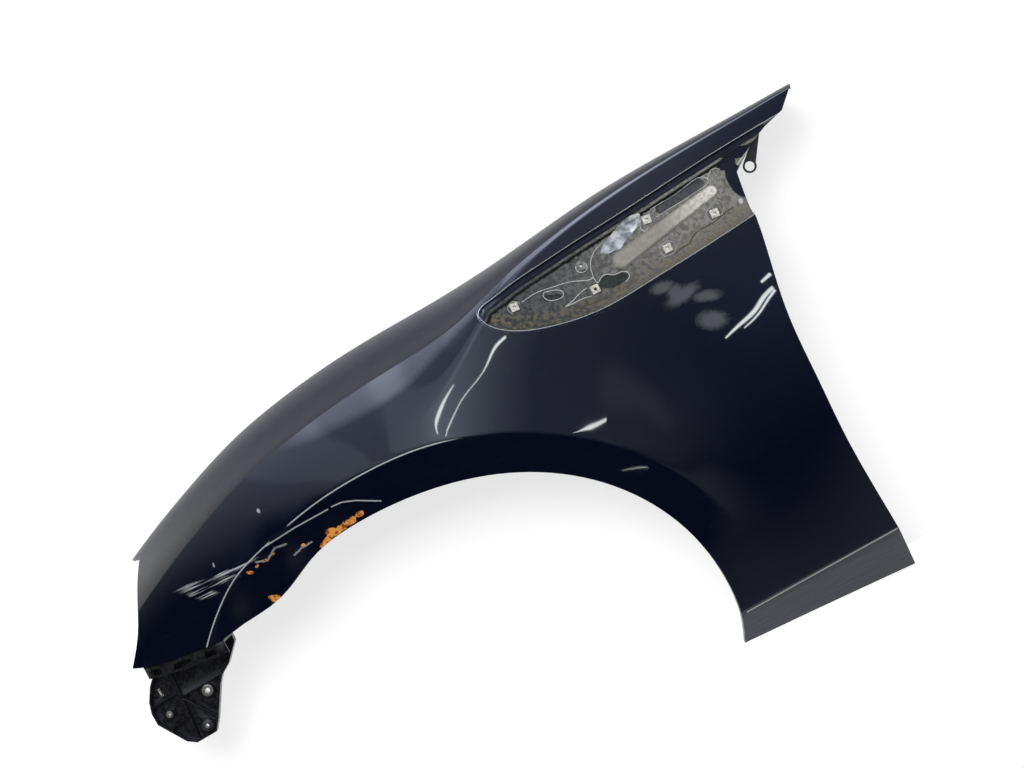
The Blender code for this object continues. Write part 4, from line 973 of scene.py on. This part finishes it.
def stage_material(name, lift_white, albedo, one_sided):
    made, tree, shader = new_material(name)
    shader.inputs["Base Color"].default_value = (albedo, albedo, albedo, 1)
    shader.inputs["Roughness"].default_value = 0.9
    shader.inputs["Specular IOR Level"].default_value = 0
    path = add_node(tree, "ShaderNodeLightPath").outputs
    seen = stronger(tree, path["Is Camera Ray"], path["Is Glossy Ray"])
    seen = stronger(tree, seen, path["Is Transmission Ray"])
    shader.inputs["Emission Color"].default_value = (1, 1, 1, 1)
    tree.links.new(times(tree, seen, lift_white), shader.inputs["Emission Strength"])
    if one_sided:
        clear = add_node(tree, "ShaderNodeBsdfTransparent")
        side = add_node(tree, "ShaderNodeNewGeometry")
        mix = add_node(tree, "ShaderNodeMixShader", {0: side.outputs["Backfacing"],
                                                     1: shader.outputs[0], 2: clear.outputs[0]})
        tree.links.new(mix.outputs[0], tree.nodes["Material Output"].inputs["Surface"])
    return made


board.visible_diffuse = False
board.visible_shadow = False
board.data.materials.append(stage_material("board_white", BOARD_LIFT, BOARD_ALBEDO, True))
floor.data.materials.append(stage_material("floor_white", FLOOR_LIFT, FLOOR_ALBEDO, False))


# Camera, lamps and room
# The camera is rolled, so the fender climbs to the right. A soft key lamp stands at the upper
# left and a second lamp behind the part. Thin strips hang near the skin, each where its
# reflection falls on a chosen place seen from the camera, and only glossy surfaces show them.
SENSOR_WIDTH = 36
VIEW_END = 50
KEY_SIZE, KEY_POWER = 1.2, 60
INNER_SIZE, INNER_POWER = 1.5, 45

camera = bpy.data.objects.new("camera", bpy.data.cameras.new("camera"))
bpy.context.scene.collection.objects.link(camera)
camera.data.lens = LENS
camera.data.sensor_width = SENSOR_WIDTH
camera.data.clip_end = VIEW_END
camera_place = at_wheel(*CAMERA_PLACE)
axes = Matrix((right, UP, Vector((0, -1, 0)))).transposed().to_4x4()
camera.matrix_world = Matrix.Translation(camera_place) @ axes
bpy.context.scene.camera = camera

middle = (low + high) / 2


def soft_lamp(name, place, size, power):
    """Hang a square lamp that faces the part and doesn't show in it."""
    lamp = bpy.data.objects.new(name, bpy.data.lights.new(name, "AREA"))
    bpy.context.scene.collection.objects.link(lamp)
    lamp.data.shape = "SQUARE"
    lamp.data.size = size
    lamp.data.energy = power
    lamp.location = middle + place
    lamp.rotation_euler = (-place).to_track_quat("-Z", "Y").to_euler()
    lamp.visible_glossy = False


soft_lamp("key_lamp", UP * 0.9 - right * 0.8 + Vector((0, -2.6, 0)), KEY_SIZE, KEY_POWER)
soft_lamp("inner_lamp", Vector((0.3, 2.4, 0.15)), INNER_SIZE, INNER_POWER)

CEILING = ((-1.0, 0.05), (-0.12, 0.08), (0.0, 0.30), (0.18, 0.75), (0.30, 1.0), (0.66, 1.0),
           (0.73, 3.0), (1.0, 3.3))
CEILING_TOP = 3.5
WALLS = ((0, 0.20), (10, 0.24), (20, 0.38), (30, 0.66), (34, 0.72), (35.5, 1.10), (46, 1.20),
         (47, 0.82), (52.5, 0.82), (53.5, 1.35), (62, 1.65), (67, 2.45), (73, 1.9), (80, 1.25),
         (88, 0.75), (100, 0.36), (180, 0.26))
WALLS_TOP = 2.5
ROOM_LIGHT = 0.5
BEHIND = 0.42
LAMP_DISTANCE = 0.3
LAMP_STEP = 4 * MM
LAMPS = ((((228, 521), (207, 514), (186, 498), (170, 487), (142, 474), (126, 466), (108, 453),
           (92, 440), (80, 428)),
          (3.0, 3.4, 2.2, 1.0, 0.8, 0.8, 0.8, 1.0, 1.2)),
         (((126, 492), (100, 475), (83, 460), (75, 451), (71, 436)), (0.8, 2.0, 3.4, 3.0, 1.2)),
         (((252, 346), (279, 342), (306, 341)), (0.8, 2.6, 1.6)),
         (((524, 368), (554, 377), (584, 386), (605, 398), (623, 404)), (1.6, 3.6, 5.0, 5.4, 4.6)),
         (((556, 369), (585, 378), (610, 392), (624, 399)), (1.4, 2.4, 2.8, 3.4)),
         (((611, 419), (629, 424)), (3.2, 4.6)),
         (((292, 262), (310, 257), (330, 249)), (0.15, 0.3, 0.25)))
LAMP_GLOW = 20.0
LAMP_COLOUR = (0.94, 0.98, 1.0, 1)
HAZE_PLACE = (0.31, 0.27)
HAZE_REACH = 0.15
HAZE_LEVEL = 0.5
LOW_RIGHT_LEVEL = 0.30
MIRROR_TINT = (0.91, 0.98, 1.16, 1)


def mirror_place(x, z, distance):
    """Where a lamp hangs whose reflection the camera sees at a place on the skin, in mm."""
    px, pz = x * MM, z * MM
    depth, left_depth, right_depth, low_depth, high_depth = skin(
        np.array([px, px - NORMAL_STEP, px + NORMAL_STEP, px, px]),
        np.array([pz, pz, pz, pz - NORMAL_STEP, pz + NORMAL_STEP]))
    outward = Vector(((right_depth - left_depth) / (2 * NORMAL_STEP), -1,
                      (high_depth - low_depth) / (2 * NORMAL_STEP))).normalized()
    point = Vector((px, depth, pz)) - datum
    view = (point - camera_place).normalized()
    return point + view.reflect(outward) * distance


def strip_lamp(name, bends, radii, glow):
    """Hang a thin glowing strip that shows only in glossy surfaces and fades at its sides."""
    path = trace(bends, LAMP_STEP)
    sizes = np.interp(np.linspace(0, 1, len(path)), np.linspace(0, 1, len(radii)), radii)
    curve = bpy.data.curves.new(name, "CURVE")
    curve.dimensions = "3D"
    curve.bevel_depth = MM
    strip = curve.splines.new("POLY")
    strip.points.add(len(path) - 1)
    for point, (px, pz), size in zip(strip.points, path, sizes):
        point.co = (*mirror_place(px / MM, pz / MM, LAMP_DISTANCE), 1)
        point.radius = size
    lamp = bpy.data.objects.new(name, curve)
    bpy.context.scene.collection.objects.link(lamp)
    made, tree, shader = new_material(name)
    shader.inputs["Base Color"].default_value = (0, 0, 0, 1)
    shader.inputs["Emission Color"].default_value = LAMP_COLOUR
    facing = add_node(tree, "ShaderNodeLayerWeight", {"Blend": 0.5}).outputs["Facing"]
    tree.links.new(times(tree, rest_of(tree, facing), glow), shader.inputs["Emission Strength"])
    curve.materials.append(made)
    for kind in ("visible_camera", "visible_diffuse", "visible_transmission", "visible_shadow"):
        setattr(lamp, kind, False)


for number, (bends, radii) in enumerate(LAMPS):
    strip_lamp(f"strip_lamp_{number + 1}", bends, radii, LAMP_GLOW)

world = bpy.data.worlds.new("studio")
bpy.context.scene.world = world
world.use_nodes = True
tree = world.node_tree
tree.nodes.clear()
path = add_node(tree, "ShaderNodeLightPath").outputs
direction = add_node(tree, "ShaderNodeTexCoord").outputs["Generated"]
upward, sideways, behind = (dot(tree, direction, tuple(axis))
                            for axis in (UP, right, Vector((0, 1, 0))))


def level_curve(tree, value, stops, low_end, high_end, top):
    """Read a level from a few stops over the value's range."""
    ramp = add_node(tree, "ShaderNodeValToRGB", {0: add_node(tree, "ShaderNodeMapRange", {
        "Value": value, "From Min": low_end, "From Max": high_end}).outputs[0]})
    points = ramp.color_ramp.elements
    while len(points) < len(stops):
        points.new(0.5)
    for point, (at, _) in zip(points, stops):
        point.position = (at - low_end) / (high_end - low_end)
    for point, (_, level) in zip(points, stops):
        point.color = (level / top, level / top, level / top, 1)
    return times(tree, ramp.outputs[0], top)


ceiling = level_curve(tree, upward, CEILING, -1.0, 1.0, CEILING_TOP)
bearing = math_node(tree, "ARCTAN2", upward, times(tree, sideways, -1.0))
walls = level_curve(tree, math_node(tree, "ABSOLUTE", bearing),
                    [(math.radians(at), level) for at, level in WALLS], 0.0, math.pi, WALLS_TOP)
room = times(tree, ceiling, walls)
low_right = times(tree, ease_node(tree, sideways, 0.26, 0.44),
                  ease_node(tree, upward, 0.15, -0.05))
room = stronger(tree, room, times(tree, low_right, LOW_RIGHT_LEVEL))
aside = math_node(tree, "SUBTRACT", sideways, HAZE_PLACE[0])
above = math_node(tree, "SUBTRACT", upward, HAZE_PLACE[1])
spread = math_node(tree, "SQRT", math_node(tree, "ADD", times(tree, aside, aside),
                                           times(tree, above, above)))
room = stronger(tree, room, ease_node(tree, spread, HAZE_REACH, 0.0, 0.0, HAZE_LEVEL))


def blend_level(share, first, second):
    return add_node(tree, "ShaderNodeMix", {0: share, 2: first, 3: second},
                    data_type="FLOAT").outputs[0]


room = blend_level(ease_node(tree, behind, 0.25, 0.55), room, BEHIND)
mirror = blend_level(path["Is Glossy Ray"], ROOM_LIGHT, room)
shown = stronger(tree, path["Is Camera Ray"], path["Is Transmission Ray"])
shown = blend_level(shown, mirror, 1.0)
tint = blend_colour(tree, path["Is Glossy Ray"], (1, 1, 1, 1), MIRROR_TINT)
back = add_node(tree, "ShaderNodeBackground", {"Color": tint, "Strength": shown})
add_node(tree, "ShaderNodeOutputWorld", {"Surface": back.outputs[0]})
bpy.context.scene.view_settings.view_transform = "Standard"
